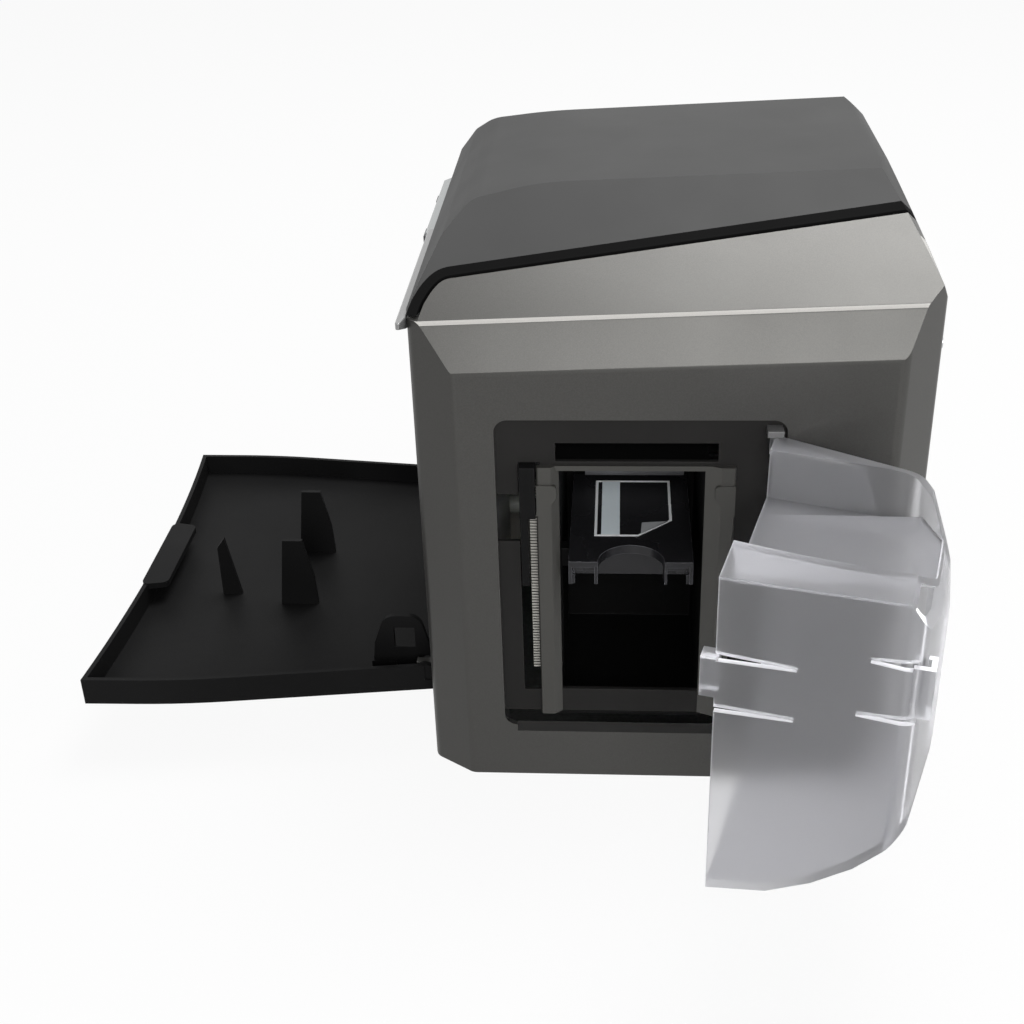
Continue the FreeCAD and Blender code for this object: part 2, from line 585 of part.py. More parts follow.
label_ring = cut("label_ring", label_outline("label_outside", "0"),
                 label_outline("label_inside", "label_line"))
stripe = block("label_stripe", ("stripe_left", "stripe_right"),
               ("label_front + label_line / 2", "label_back - label_line / 2"),
               ("tray_top", "tray_top + label_high"))
fold = prism("label_fold", "XY", ("tray_top", "tray_top + label_high"), [
    ("fold_x + 1", "label_front + 2.2"), ("label_right - 1.5", "fold_y - 0.5"),
    ("fold_x + 1.6", "fold_y - 2")])
piece(group("label", join("label_card", label_ring, stripe), fold), "tray_label")

# Hopper door, drawn closed about its hinge line and then swung open

dims(door_wall=2.5, hopper_hinge_x=45, hopper_hinge_y=-145.2, hopper_open=75,
     hopper_low=38, hopper_high=192, hopper_width=122, hopper_knuckle=2.6, hopper_pin=1.3)
side_walls_of_door = [("0", "38", 0, 1), ("25", "42.7", 0.4, 1), ("43", "52", 0.7, 0.9),
                      ("59", "64", 0.9, 0.8), ("71", "77", 1, 0.6), ("78", "88", 1, 0.4),
                      ("82", "100", 1, 0.2), ("84", "120", 1, 0), ("84", "150", 1, 0),
                      ("80", "175", 1, 0), ("70", "hopper_high", 1, 0),
                      ("0", "hopper_high", 0, 0)]


def door_space(name, inset, top):
    """The hopper door's space, drawn in by an inset, open towards the printer."""
    corners = []
    for index, (out, up, out_share, up_share) in enumerate(side_walls_of_door):
        reach = "-(%s - %g * %s)" % (out, out_share, inset)
        if out == "0":
            reach = "%s / 2" % inset
        level = "%s + %g * %s" % (up, up_share, inset)
        corners.append((reach, top if up == "hopper_high" else level))
    profile = prism(name + "_side", "YZ", ("-hopper_width - 1", "1"), corners,
                    [(4, "24")])
    plan = prism(name + "_plan", "XY", ("hopper_low - 5", "tall"), [
        ("-1.05 * %s" % inset, "%s / 2" % inset), ("-20 - 0.9 * %s" % inset, "%s - 64" % inset),
        ("-65", "%s - 84.5" % inset), ("%s - hopper_width" % inset, "%s - 76.6" % inset),
        ("%s - hopper_width" % inset, "%s / 2" % inset)],
        [(1, "14 - %s" % inset), (2, "70"), (3, "8 - %s" % inset)])
    return shared(name, profile, plan)


def between(name, low_section, high_section, low, high):
    """A solid run between two outlines on planes square to Y."""
    body = doc.addObject("PartDesign::Body", name)
    first = outline(body, "XZ", "-(%s)" % low, low_section)
    second = outline(body, "XZ", "-(%s)" % high, high_section)
    loft = body.newObject("PartDesign::AdditiveLoft", name + "_loft")
    loft.Profile = first
    loft.Sections = [second]
    loft.Ruled = True
    body.Tip = loft
    return body


def trough(name, grow):
    """The hopper door's top trough: a hinge-side ledge and a rising floor."""
    ledge = between(name + "_ledge", [
        ("-12 + %s" % grow, "tall - 100"), ("-17 + %s" % grow, "170 - %s" % grow),
        ("-33", "170 - %s" % grow), ("-33", "tall - 100")], [
        ("-20 + %s" % grow, "tall - 100"), ("-24 + %s" % grow, "170 - %s" % grow),
        ("-33", "170 - %s" % grow), ("-33", "tall - 100")], "1", "-90")
    floor = between(name + "_floor", [
        ("-31 + %s" % grow, "170 - %s" % grow), ("-82 - %s" % grow, "170 - %s" % grow),
        ("-109.3 - %s" % grow, "tall - 100"), ("-31 + %s" % grow, "tall - 100")], [
        ("-31 + %s" % grow, "182 - %s" % grow), ("-82 - %s" % grow, "182 - %s" % grow),
        ("-152 - %s" % grow, "tall - 100"), ("-31 + %s" % grow, "tall - 100")], "1", "-90")
    return join(name, ledge, floor)


door_outside = door_space("door_outside", "0", "hopper_high")
door_inside = door_space("door_inside", "door_wall", "tall - 100")
under_top = block("under_top", ("-200", "50"), ("-200", "50"),
                  ("hopper_low", "hopper_high - door_wall"))
hollow = cut("door_hollow", shared("door_hollow_blank", door_inside, under_top),
             trough("trough_walls", "door_wall"))
sunk = shared("door_trough", trough("trough_space", "0"), door_inside)


def wedge_slit(name, near, far, low_near, high_near, low_far, high_far):
    """A tapered slit through the free wall of the hopper door."""
    return prism(name, "YZ", ("-hopper_width - 1", "door_wall + 1 - hopper_width"), [
        ("-(%s)" % near, low_near), ("-(%s)" % far, low_far), ("-(%s)" % far, high_far),
        ("-(%s)" % near, high_near)])


slits = [wedge_slit("slit_high", "-1", "31", "153.8", "157.4", "154.8", "155.8"),
         wedge_slit("slit_low", "-1", "31", "129.8", "132.4", "131.2", "132.2"),
         wedge_slit("slit_loop_high", "57.6", "75", "164.4", "165.6", "162.6", "167"),
         wedge_slit("slit_loop_low", "54", "77.7", "139.3", "140.3", "138", "141.4")]
hook_outside = block("hook_outside", ("0.3 - hopper_width", "7.3 - hopper_width"), ("-1", "6"),
                     ("136.5", "155"))
hook_inside = block("hook_inside", ("2.3 - hopper_width", "5.3 - hopper_width"), ("-2", "7"),
                    ("138.5", "153"))
loop_outside = block("loop_outside", ("-hopper_width", "10 - hopper_width"), ("-81", "-73"),
                     ("143", "165"))
loop_inside = block("loop_inside", ("2.5 - hopper_width", "7.5 - hopper_width"), ("-79", "-70"),
                    ("142", "166"))
knuckles = [rod("upper_hopper_knuckle", "Z", "hopper_knuckle", ("0", "0", "hopper_high - 9"), "9"),
            rod("lower_hopper_knuckle", "Z", "hopper_knuckle", ("0", "0", "hopper_low"), "9"),
            block("upper_knuckle_web", ("-5", "0"), ("-hopper_knuckle", "-0.4"),
                  ("hopper_high - 9", "hopper_high")),
            block("lower_knuckle_web", ("-5", "0"), ("-hopper_knuckle", "-0.4"),
                  ("hopper_low", "hopper_low + 9"))]
hinge_bore = rod("hinge_bore", "Z", "hopper_pin + running_gap", ("0", "0", "hopper_low - 1"),
                 "hopper_high - hopper_low + 2")
door_skin = cut("door_skin_shell", door_outside, hollow, sunk, *slits)
hook = cut("hook", hook_outside, hook_inside)
loop = cut("loop", loop_outside, loop_inside)
hopper_door = cut("hopper_door_body", join("hopper_door_blank", door_skin, hook, loop,
                                           *knuckles), hinge_bore)
hopper_door.Placement.Rotation = FreeCAD.Rotation(FreeCAD.Vector(0, 0, 1), 1)
bind(hopper_door, Placement__Rotation__Angle="hopper_open",
     Placement__Base__x="hopper_hinge_x", Placement__Base__y="hopper_hinge_y")
piece(hopper_door, "hopper_door")

hinge_parts = []
for name, low, high, pin_low in (("upper", "hopper_high + 0.5", "hopper_high + 3.5",
                                  "hopper_high - 7"),
                                 ("lower", "hopper_low - 4", "hopper_low - 0.5",
                                  "hopper_low - 1")):
    plate = block(name + "_hinge_plate", ("hopper_hinge_x - 4", "hopper_hinge_x + 3"),
                  ("hopper_hinge_y - 4", face), (low, high))
    pin = rod(name + "_hinge_pin", "Z", "hopper_pin",
              ("hopper_hinge_x", "hopper_hinge_y", pin_low), "8")
    hinge_parts.append(join(name + "_hinge", plate, pin))
piece(group("hopper_hinges", *hinge_parts), "hopper_hinge_brackets")

# Front door, modelled lying open: a shallow pan with ribs, a stay plate and a latch plate

dims(door_free_x=-301, door_bend_x=-250, door_hinge_edge=-118.5, door_free_half=127.5,
     door_bend_half=127, door_hinge_half=110, door_side_round=400, door_low=26.5,
     door_rim=41.5, door_skin=2.5, door_curve=1250, door_bow=6.5, eye_radius=6,
     eye_near=106.6, eye_far=110, bore_end=109.3, latch_half=35.5, latch_left_x=-296,
     latch_right_x=-281, latch_low_z=38.5, latch_high_z=42, latch_round=4, rib_thick=2.5,
     rib_left=-216, rib_right=-194.5, rib_kink=47, rib_shoulder=-211.3, rib_tip=-200.3,
     rib_top=70.5, rib_far=22.8, rib_near=-34, fin_left=-252.1, fin_right=-240.9,
     fin_tip=-247.4, fin_shoulder=60, fin_top=66, fin_y=-24.5, stay_left=-153.5,
     stay_right=-122, stay_top=62.5, stay_shoulder=46, stay_round=8, stay_base=13)


def door_plan(name, inset, edge, low, high):
    """The door's plan between two levels, drawn in by an inset at its sides."""
    half = [("door_free_x", "door_free_half - %s" % inset),
            ("door_bend_x", "door_bend_half - %s" % inset),
            (edge, "door_hinge_half - %s" % inset)]
    mirrored = [(along, "-(%s)" % across) for along, across in reversed(half)]
    return prism(name, "XY", (low, high), half + mirrored,
                 [(1, "door_side_round"), (4, "door_side_round")])


door_block = door_plan("door_block", "0", "door_hinge_edge", "door_low", "door_rim")
bow = rod("door_bow_cut", "Z", "door_curve", ("door_free_x + door_bow - door_curve", "0", "0"),
          "100")
rim_bow = rod("door_rim_bow", "Z", "door_curve + door_skin",
              ("door_free_x + door_bow - door_curve", "0", "0"), "100")
pan_inside = cut("door_inside_space", door_plan(
    "door_inside_block", "door_skin", "door_hinge_edge + 1", "door_low + door_skin",
    "door_rim + 1"), rim_bow)
hinge_relief = block("hinge_relief", ("door_hinge_x", "door_hinge_edge + 1"), ("-140", "140"),
                     ("door_hinge_z - 3", "door_rim + 1"))
door_pan = cut("door_pan", door_block, bow, pan_inside, hinge_relief)
eyes = []
for name, low in (("near", "-eye_far"), ("far", "eye_near")):
    eyes.append(rod(name + "_eye", "Y", "eye_radius", ("door_hinge_x", low, "door_hinge_z"),
                    "eye_far - eye_near"))
latch = prism("door_latch", "XY", ("latch_low_z", "latch_high_z"), [
    ("latch_left_x", "-latch_half"), ("latch_right_x", "3 - latch_half"),
    ("latch_right_x", "latch_half - 3"), ("latch_left_x", "latch_half")],
    [(number, "latch_round") for number in (0, 1, 2, 3)])
floor_top = "(door_low + door_skin - 0.5)"
ribs = []
for name, low in (("far", "rib_far"), ("near", "rib_near")):
    ribs.append(prism(name + "_rib", "XZ", (low, low + " + rib_thick"), [
        ("rib_left", floor_top), ("rib_right", floor_top), ("rib_right - 1", "rib_kink"),
        ("rib_tip", "rib_top"), ("rib_shoulder", "rib_top")]))
ribs.append(prism("fin", "XZ", ("fin_y", "fin_y + rib_thick"), [
    ("fin_left", floor_top), ("fin_right", floor_top), ("fin_tip", "fin_top"),
    ("fin_left + 0.3", "fin_shoulder")]))
stay = prism("stay", "XZ", ("stay_y", "stay_y + stay_thick"), [
    ("stay_left", floor_top), ("stay_right", floor_top), ("stay_right - 1", "stay_shoulder"),
    ("stay_right - 5", "stay_top"), ("stay_left + 8", "stay_top"),
    ("stay_left + 2", "stay_shoulder")],
    [(3, "stay_round"), (4, "stay_round")])
stay_window = block("stay_window", ("stay_left + 12.5", "stay_left + 23.5"),
                    ("stay_y - 1", "stay_y + stay_thick + 1"),
                    ("door_low + 17", "door_low + 29"))
stay_root = block("stay_root", ("stay_left", "stay_left + stay_base"),
                  ("stay_y - 2", "stay_y + stay_thick + 2"), (floor_top, "door_low + 9"))
eye_bore = rod("eye_bore", "Y", "door_pin + running_gap",
               ("door_hinge_x", "-bore_end", "door_hinge_z"), "2 * bore_end")
door_solid = join("door_solid", door_pan, latch, cut("stay_plate", join("stay_blank", stay,
                                                                       stay_root),
                                                    stay_window), *(eyes + ribs))
piece(cut("door", door_solid, eye_bore), "front_door")

# Control strip and control housing over the front door

dims(strip_face=-121.5, strip_near=-139, strip_far=-11, strip_low=224, strip_high=242.4,
     housing_face=-123, housing_far=80, housing_low=222, button_gap=0.3,
     small_near=-9, small_far=4, large_near=50, large_far=60, key_low=226, key_high=238,
     window_near=9, window_far=44, light_near=66, light_far=74)
strip = prism("control_strip_plan", "XY", ("strip_low", "strip_high"), [
    ("body_front", "strip_near + 9"), ("strip_face + 2", "strip_near"),
    ("strip_face", "strip_near + 2"), ("strip_face", "strip_far"), ("body_front", "strip_far")])
piece(strip, "control_strip")
housing = prism("control_housing", "XZ", ("strip_far", "housing_far"), [
    ("body_front", "housing_low"), ("housing_face", "housing_low + 2"),
    ("housing_face", "strip_high - 2"), ("body_front", "strip_high")])


def pocket(name, near, far, low, high, depth):
    """A pocket in the face of the control housing."""
    return block(name, ("housing_face - 1", "housing_face + %s" % depth), (near, far),
                 (low, high))


pockets = []
keys = []
for name, near, far in (("small", "small_near", "small_far"), ("large", "large_near",
                                                              "large_far")):
    pockets.append(pocket(name + "_pocket", near + " - button_gap", far + " + button_gap",
                          "key_low - button_gap", "key_high + button_gap", "4.2"))
    keys.append(block(name + "_key", ("housing_face - 1.6", "housing_face + 3"), (near, far),
                      ("key_low", "key_high")))
pockets.append(pocket("window_pocket", "window_near", "window_far", "key_low - 1",
                      "key_high + 1", "1"))
pockets.append(pocket("light_pocket", "light_near", "light_far", "key_low + 2",
                      "key_high - 2", "2"))
piece(cut("control_panel_body", housing, *pockets), "control_panel")
piece(keys[0], "menu_button")
piece(keys[1], "power_button")
piece(block("window_pane", ("housing_face - 0.2", "housing_face + 1"),
            ("window_near", "window_far"), ("key_low - 1", "key_high + 1")), "display_window")
piece(block("light_pane", ("housing_face - 0.4", "housing_face + 2"),
            ("light_near", "light_far"), ("key_low + 2", "key_high - 2")), "status_light")

# Card path: rollers between two chassis plates, driven by a belt behind the rear plate

dims(plate_front=-84, plate_back=-82, rear_plate_front=62, rear_plate_back=64,
     chassis_low=2.5, front_plate_top=200, rear_plate_top=225, chassis_near=-134,
     chassis_far=100, roller_left=-41, roller_right=9, shaft_start=-88, shaft_end=66,
     pulley_end=74, pulley_radius=7, feed_y=-36, feed_z=119.6, feed_radius=7, platen_y=10,
     platen_z=117.5, platen_radius=9, platen_pulley=6.9, transfer_y=66, transfer_z=115,
     transfer_radius=12, transfer_pinch_radius=8, nip=0.9, exit_y=-128, exit_z=187.4,
     exit_radius=5.5, pick_radius=8.6)
rollers = [
    ("pick_roller", "pick_y", "pick_z", "pick_radius", None),
    ("feed_roller", "feed_y", "feed_z", "feed_radius", "pulley_radius"),
    ("feed_pinch_roller", "feed_y", "card_path + nip + feed_radius", "feed_radius", None),
    ("platen_roller", "platen_y", "platen_z", "platen_radius", "platen_pulley"),
    ("transfer_roller", "transfer_y", "transfer_z", "transfer_radius", "pulley_radius"),
    ("transfer_pinch_roller", "transfer_y", "card_path + nip + transfer_pinch_radius",
     "transfer_pinch_radius", None),
    ("exit_roller", "exit_y", "exit_z", "exit_radius", None)]
shaft_holes = []
for name, y, z, radius, pulley in rollers:
    shaft = rod(name + "_shaft", "X", "shaft_radius", ("shaft_start", y, z),
                "pulley_end - shaft_start" if pulley else "shaft_end - shaft_start")
    sleeve = rod(name + "_sleeve", "X", radius, ("roller_left", y, z),
                 "roller_right - roller_left")
    parts = [shaft, sleeve]
    if pulley:
        parts.append(rod(name + "_pulley", "X", pulley, ("shaft_end + 1", y, z),
                         "pulley_end - shaft_end - 1"))
    piece(join(name + "_body", *parts), name)
    shaft_holes.append(rod(name + "_bore", "X", "shaft_radius + running_gap",
                           ("plate_front - 5", y, z), "170"))

# Cartridges that slide out through the front: a frame with two spools each

dims(cartridge_front=-88, cartridge_plate=3, cartridge_back=55, ribbon_y=-12, ribbon_far=32,
     ribbon_z=152, ribbon_radius=12, film_y=-30, film_far=30, film_z=93, film_radius=13,
     core_radius=3, core_pin=2, lobe=15, bridge_thick=4, slide_gap=1.2)


def cartridge(name, near, far, height, radius, bridge_side):
    """A frame with a front plate, a bridge and rear lobes, and its two spools."""
    low = "(%s - %s - 1.5)" % (height, radius)
    high = "(%s + %s + 1.5)" % (height, radius)
    bridge = (high, high + " + bridge_thick") if bridge_side > 0 else (low + " - bridge_thick",
                                                                       low)
    spread = ("%s - lobe" % near, "%s + lobe" % far)
    full = (bridge[0] if bridge_side < 0 else low, bridge[1] if bridge_side > 0 else high)
    parts = [block(name + "_front_plate", ("cartridge_front", "cartridge_front + cartridge_plate"),
                   (spread[0] + " - 3", spread[1] + " + 3"), (full[0] + " - 2", full[1] + " + 2")),
             block(name + "_bridge", ("cartridge_front", "cartridge_back"), spread, bridge)]
    bores = []
    for end, middle in (("near", near), ("far", far)):
        parts.append(block("%s_%s_lobe" % (name, end),
                           ("cartridge_back - cartridge_plate", "cartridge_back"),
                           (middle + " - lobe + 2", middle + " + lobe - 2"),
                           (full[0], full[1])))
        bores.append(rod("%s_%s_bore" % (name, end), "X", "core_pin + running_gap",
                         ("cartridge_front + 1", middle, height), "160"))
    frame = cut(name + "_frame", join(name + "_blank", *parts), *bores)
    piece(frame, name + "_cartridge")
    for end, middle in (("supply", near), ("take_up", far)):
        roll = rod("%s_%s_roll" % (name, end), "X", radius,
                   ("cartridge_front + 15", middle, height), "120")
        core = rod("%s_%s_core" % (name, end), "X", "core_pin",
                   ("cartridge_front + 1.2", middle, height),
                   "cartridge_back - cartridge_front - 1.2")
        flange = rod("%s_%s_flange" % (name, end), "X", "core_radius + 2",
                     ("cartridge_front + cartridge_plate + 1", middle, height),
                     "cartridge_back - cartridge_front - 2 * cartridge_plate - 2")
        piece(join("%s_%s_spool_body" % (name, end), roll, core, flange),
              "%s_%s_spool" % (name, end))
    return block(name + "_window", ("plate_front - 1", "plate_back + 1"),
                 (spread[0] + " - slide_gap", spread[1] + " + slide_gap"),
                 (full[0] + " - slide_gap", full[1] + " + slide_gap"))


ribbon_window = cartridge("ribbon", "ribbon_y", "ribbon_far", "ribbon_z", "ribbon_radius", 1)
film_window = cartridge("film", "film_y", "film_far", "film_z", "film_radius", -1)

piece(cut("front_chassis", block("front_chassis_blank", ("plate_front", "plate_back"),
                                 ("chassis_near", "chassis_far"),
                                 ("chassis_low", "front_plate_top")),
          ribbon_window, film_window, *shaft_holes), "front_chassis_plate")
piece(cut("rear_chassis", block("rear_chassis_blank", ("rear_plate_front", "rear_plate_back"),
                                ("chassis_near", "chassis_far"),
                                ("chassis_low", "rear_plate_top")), *shaft_holes),
      "rear_chassis_plate")

# Card guide rails and print head

dims(rail_left=-46.5, rail_right=11.5, rail_wide=3, rail_far=56, rail_low=125.5,
     rail_high=129.5, groove=1.2, groove_deep=1.5, head_near=4, head_far=16, head_low=129,
     head_high=160, arm_near=6, arm_far=14, head_arm_low=142)
rails = []
for name, left, groove_left in (("front", "rail_left", "rail_left + rail_wide - groove_deep"),
                                ("rear", "rail_right", "rail_right - 0.01")):
    bar = block(name + "_rail_bar", (left, left + " + rail_wide"), ("well_back", "rail_far"),
                ("rail_low", "rail_high"))
    slot = block(name + "_rail_groove", (groove_left, groove_left + " + groove_deep + 0.01"),
                 ("well_back - 1", "rail_far + 1"),
                 ("card_path - groove / 2", "card_path + groove / 2"))
    rails.append(cut(name + "_rail", bar, slot))
piece(group("rails", *rails), "card_guide_rails")
piece(join("head", block("head_block", ("roller_left", "roller_right"),
                         ("head_near", "head_far"), ("head_low", "head_high")),
           block("head_arm", ("roller_right - 1", "rear_plate_front"),
                 ("arm_near", "arm_far"), ("head_arm_low", "head_high"))), "print_head")

# Drive: motor on its plate, its pulley and the belt

dims(motor_y=10, motor_z=75, motor_radius=17, motor_front=78, motor_back=106, motor_shaft=2.5,
     motor_plate_front=76, motor_plate_near=-20, motor_plate_far=40, motor_plate_low=50,
     motor_plate_high=104, standoff=3, belt_gap=0.3, belt_thick=1.4, belt_wide=6)
standoffs = []
for number, (y, z) in enumerate((("-14", "56"), ("34", "56"), ("motor_y", "98"))):
    standoffs.append(rod("standoff_%d" % number, "X", "standoff", ("rear_plate_back", y, z),
                         "motor_plate_front - rear_plate_back"))
motor_hole = rod("motor_hole", "X", "motor_shaft + 2", ("motor_plate_front - 1", "motor_y",
                                                        "motor_z"), "4")
piece(cut("motor_bracket", join("motor_bracket_blank", block(
    "motor_bracket_plate", ("motor_plate_front", "motor_front"),
    ("motor_plate_near", "motor_plate_far"), ("motor_plate_low", "motor_plate_high")),
    *standoffs), motor_hole), "motor_plate")
motor_bore = rod("motor_bore", "X", "motor_shaft + running_gap",
                 ("motor_front - 1", "motor_y", "motor_z"), "20")
piece(cut("motor", rod("motor_can", "X", "motor_radius", ("motor_front", "motor_y", "motor_z"),
                       "motor_back - motor_front"), motor_bore), "drive_motor")
piece(join("motor_pulley", rod("motor_pulley_rim", "X", "pulley_radius",
                               ("shaft_end + 1", "motor_y", "motor_z"),
                               "pulley_end - shaft_end - 1"),
           rod("motor_shaft_rod", "X", "motor_shaft", ("pulley_end - 1", "motor_y", "motor_z"),
               "motor_front + 17 - pulley_end")), "drive_pulley")


def belt_loop(offset):
    """The belt's outline, drawn round its three corner pulleys at an offset."""
    x = values["shaft_end"] + 1.5
    points = [FreeCAD.Vector(x, values[name + "_y"], values[name + "_z"])
              for name in ("feed", "transfer", "motor")]
    wire = Part.makePolygon(points + points[:1])
    return Part.Face(wire.makeOffset2D(offset, 0, False, False, True))


belt = doc.addObject("Part::Feature", "belt")
belt_outside = belt_loop(values["pulley_radius"] + values["belt_gap"] + values["belt_thick"])
belt_inside = belt_loop(values["pulley_radius"] + values["belt_gap"])
width = FreeCAD.Vector(values["belt_wide"], 0, 0)
belt.Shape = belt_outside.extrude(width).cut(belt_inside.extrude(width))
piece(belt, "drive_belt")

# Electronics and rear fittings

dims(board_front=-70, board_back=50, board_low=20, board_high=110, board_y=128,
     board_thick=1.6, chip_high=4, post_radius=3, supply_front=66, supply_back=98, supply_near=30,
     supply_far=120, supply_high=48, inlet_back=118.7, inlet_front=102, socket_front=101,
     socket_back=118, io_front=99.4, fan_front=98, fan_half=40, blade_thick=1.6,
     fan_pin=2, hub_radius=11, blade_length=33, blade_count=7, rocker_x=112, rocker_z=29,
     rocker_pin=1.5, rocker_half=9.5, cheek=3, cheek_gap=0.5)
board_parts = [block("board_sheet", ("board_front", "board_back"),
                     ("board_y", "board_y + board_thick"), ("board_low", "board_high"))]
board_posts = []
for number, (left, low, wide, high) in enumerate(((-55, 70, 26, 26), (-10, 78, 18, 12),
                                                  (18, 60, 20, 30), (-50, 30, 40, 10))):
    board_parts.append(block("chip_%d" % number, (str(left), str(left + wide)),
                             ("board_y - chip_high", "board_y + 0.5"),
                             (str(low), str(low + high))))
for number, (x, z) in enumerate((("board_front + 5", "board_low + 5"),
                                 ("board_back - 5", "board_low + 5"),
                                 ("board_front + 5", "board_high - 5"),
                                 ("board_back - 5", "board_high - 5"))):
    board_posts.append(rod("board_post_%d" % number, "Y", "post_radius",
                           (x, "board_y + board_thick", z),
                           "body_side - wall - board_y - board_thick"))
piece(join("board", *board_parts), "main_board")
piece(group("board_posts", *board_posts), "board_standoffs")
piece(block("supply", ("supply_front", "supply_back"), ("supply_near", "supply_far"),
            ("pan_thick", "supply_high")), "power_supply")
inlet_body = block("inlet_body", ("inlet_front", "inlet_back"),
                   ("inlet_y", "inlet_y + inlet_wide"), ("inlet_z", "inlet_z + inlet_high"))
inlet_cavity = block("inlet_cavity", ("inlet_front + 3", "inlet_back + 1"),
                     ("inlet_y + 2.5", "inlet_y + inlet_wide - 2.5"),
                     ("inlet_z + 2.5", "inlet_z + inlet_high - 2.5"))
blades = []
for number, (across, up) in enumerate(((-7, -3), (0, 2), (7, -3))):
    blades.append(block("inlet_blade_%d" % number, ("inlet_front + 2", "inlet_back - 3"),
                        ("inlet_y + inlet_wide / 2 + %d - 0.8" % across,
                         "inlet_y + inlet_wide / 2 + %d + 0.8" % across),
                        ("inlet_z + inlet_high / 2 + %d - 2" % up,
                         "inlet_z + inlet_high / 2 + %d + 2" % up)))
piece(join("inlet", cut("inlet_shell", inlet_body, inlet_cavity), *blades), "power_inlet")
sockets = []
for name, near, wide, high in (("usb", "data_y", "usb_wide", "usb_high"),
                               ("network", "data_y + usb_wide + data_gap", "network_wide",
                                "network_high")):
    can = block(name + "_can", ("socket_front", "socket_back"), (near, near + " + " + wide),
                ("data_z", "data_z + " + high))
    cavity = block(name + "_cavity", ("socket_front + 3", "socket_back + 1"),
                   (near + " + 1.6", near + " + " + wide + " - 1.6"),
                   ("data_z + 1.6", "data_z + " + high + " - 1.6"))
    sockets.append(cut(name + "_socket", can, cavity))
sockets.append(block("io_board", ("io_front", "socket_front"), ("data_y - 8", "-44"),
                     ("12", "45")))
piece(join("socket_block", *sockets), "data_sockets")

rocker = prism("rocker", "XZ", ("switch_y", "switch_y + switch_wide"), [
    ("rocker_x - 5", "rocker_z - 5"), ("body_rear", "rocker_z - rocker_half"),
    ("body_rear + 1.5", "rocker_z - rocker_half"), ("body_rear + 0.4", "rocker_z"),
    ("body_rear + 1.5", "rocker_z + rocker_half"), ("body_rear", "rocker_z + rocker_half"),
    ("rocker_x - 5", "rocker_z + 5")])
rocker_bore = rod("rocker_bore", "Y", "rocker_pin + running_gap",
                  ("rocker_x", "switch_y - 1", "rocker_z"), "switch_wide + 2")
piece(cut("rocker_body", rocker, rocker_bore), "power_switch")
switch_parts = [rod("rocker_pin_rod", "Y", "rocker_pin",
                    ("rocker_x", "switch_y - cheek_gap - cheek", "rocker_z"),
                    "switch_wide + 2 * cheek_gap + 2 * cheek")]
for name, low in (("near", "switch_y - cheek_gap - cheek"),
                  ("far", "switch_y + switch_wide + cheek_gap")):
    switch_parts.append(block(name + "_cheek", ("rocker_x - 8", "body_rear - wall"),
                              (low, low + " + cheek"), ("rocker_z - 7", "rocker_z + 7")))
switch_parts.append(block("switch_back", ("rocker_x - 10", "rocker_x - 7.5"),
                          ("switch_y - cheek_gap - cheek",
                           "switch_y + switch_wide + cheek_gap + cheek"),
                          ("rocker_z - 7", "rocker_z + 7")))
piece(join("switch_frame_body", *switch_parts), "switch_frame")

fan_space = rod("fan_space", "X", "fan_radius", ("fan_front - 1", "fan_y", "fan_z"), "30")
fan_block = block("fan_block", ("fan_front", "body_rear - wall"),
                  ("fan_y - fan_half", "fan_y + fan_half"), ("fan_z - fan_half",
                                                            "fan_z + fan_half"))
strut = block("fan_strut", ("fan_front", "fan_front + 2"), ("fan_y - 3", "fan_y + 3"),
              ("fan_z - fan_half", "fan_z + fan_half"))
fan_boss = rod("fan_boss", "X", "hub_radius", ("fan_front", "fan_y", "fan_z"), "2")
fan_axle = rod("fan_axle", "X", "fan_pin", ("fan_front + 1", "fan_y", "fan_z"), "12")
piece(join("fan_housing", cut("fan_ring", fan_block, fan_space), strut, fan_boss, fan_axle),
      "fan_frame")
hub = rod("fan_hub", "X", "hub_radius", ("fan_front + 2.6", "fan_y", "fan_z"), "11.5")
rotor_parts = [hub]
for number in range(int(values["blade_count"])):
    blade = doc.addObject("Part::Box", "fan_blade_%d" % number)
    turn = number * 360.0 / values["blade_count"]
    around = FreeCAD.Rotation(FreeCAD.Vector(1, 0, 0), turn)
    pitch = FreeCAD.Rotation(FreeCAD.Vector(0, 0, 1), 35)
    blade.Placement = FreeCAD.Placement(
        FreeCAD.Vector(values["fan_front"] + 4.5, values["fan_y"], values["fan_z"]),
        around * pitch)
    bind(blade, Length="9", Width="blade_thick", Height="blade_length")
    rotor_parts.append(blade)
rotor_bore = rod("rotor_bore", "X", "fan_pin + running_gap",
                 ("fan_front + 2", "fan_y", "fan_z"), "11.5")
piece(cut("rotor", join("rotor_blank", *rotor_parts), rotor_bore), "fan_rotor")

screws = []
for number, (across, up) in enumerate(screw_places):
    screws.append(join("screw_%d" % number,
                       rod("screw_head_%d" % number, "X", "screw_head",
                           ("body_rear", across, up), "screw_head_thick"),
                       rod("screw_shank_%d" % number, "X", "screw_shank",
                           ("body_rear - screw_length", across, up), "screw_length + 0.5")))
piece(group("screws", *screws), "case_screws")

doc.recompute()

# Checks and files

faults = []
for item in doc.Objects:
    if "Invalid" in item.State or "Error" in item.State:
        faults.append("%s: %s" % (item.Name, item.State))
for thing in pieces:
    if thing.Shape.isNull() or not thing.Shape.isValid() or not thing.Shape.Solids:
        faults.append("%s has no valid solid" % thing.Label)
if faults:
    raise SystemExit("\n".join(faults))
os.makedirs("parts", exist_ok=True)
for thing in pieces:
    thing.Shape.exportStep("parts/%s.step" % thing.Label)
print("%d sub-parts written" % len(pieces))
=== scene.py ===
"""Looks for the id card printer: finishes, softened edges, small details, studio and camera.

Sizes are in metres and angles in radians. A size that ends in _edge is the width of a piece's
rounded edges, and a number that ends in _share is a share of another one.
"""

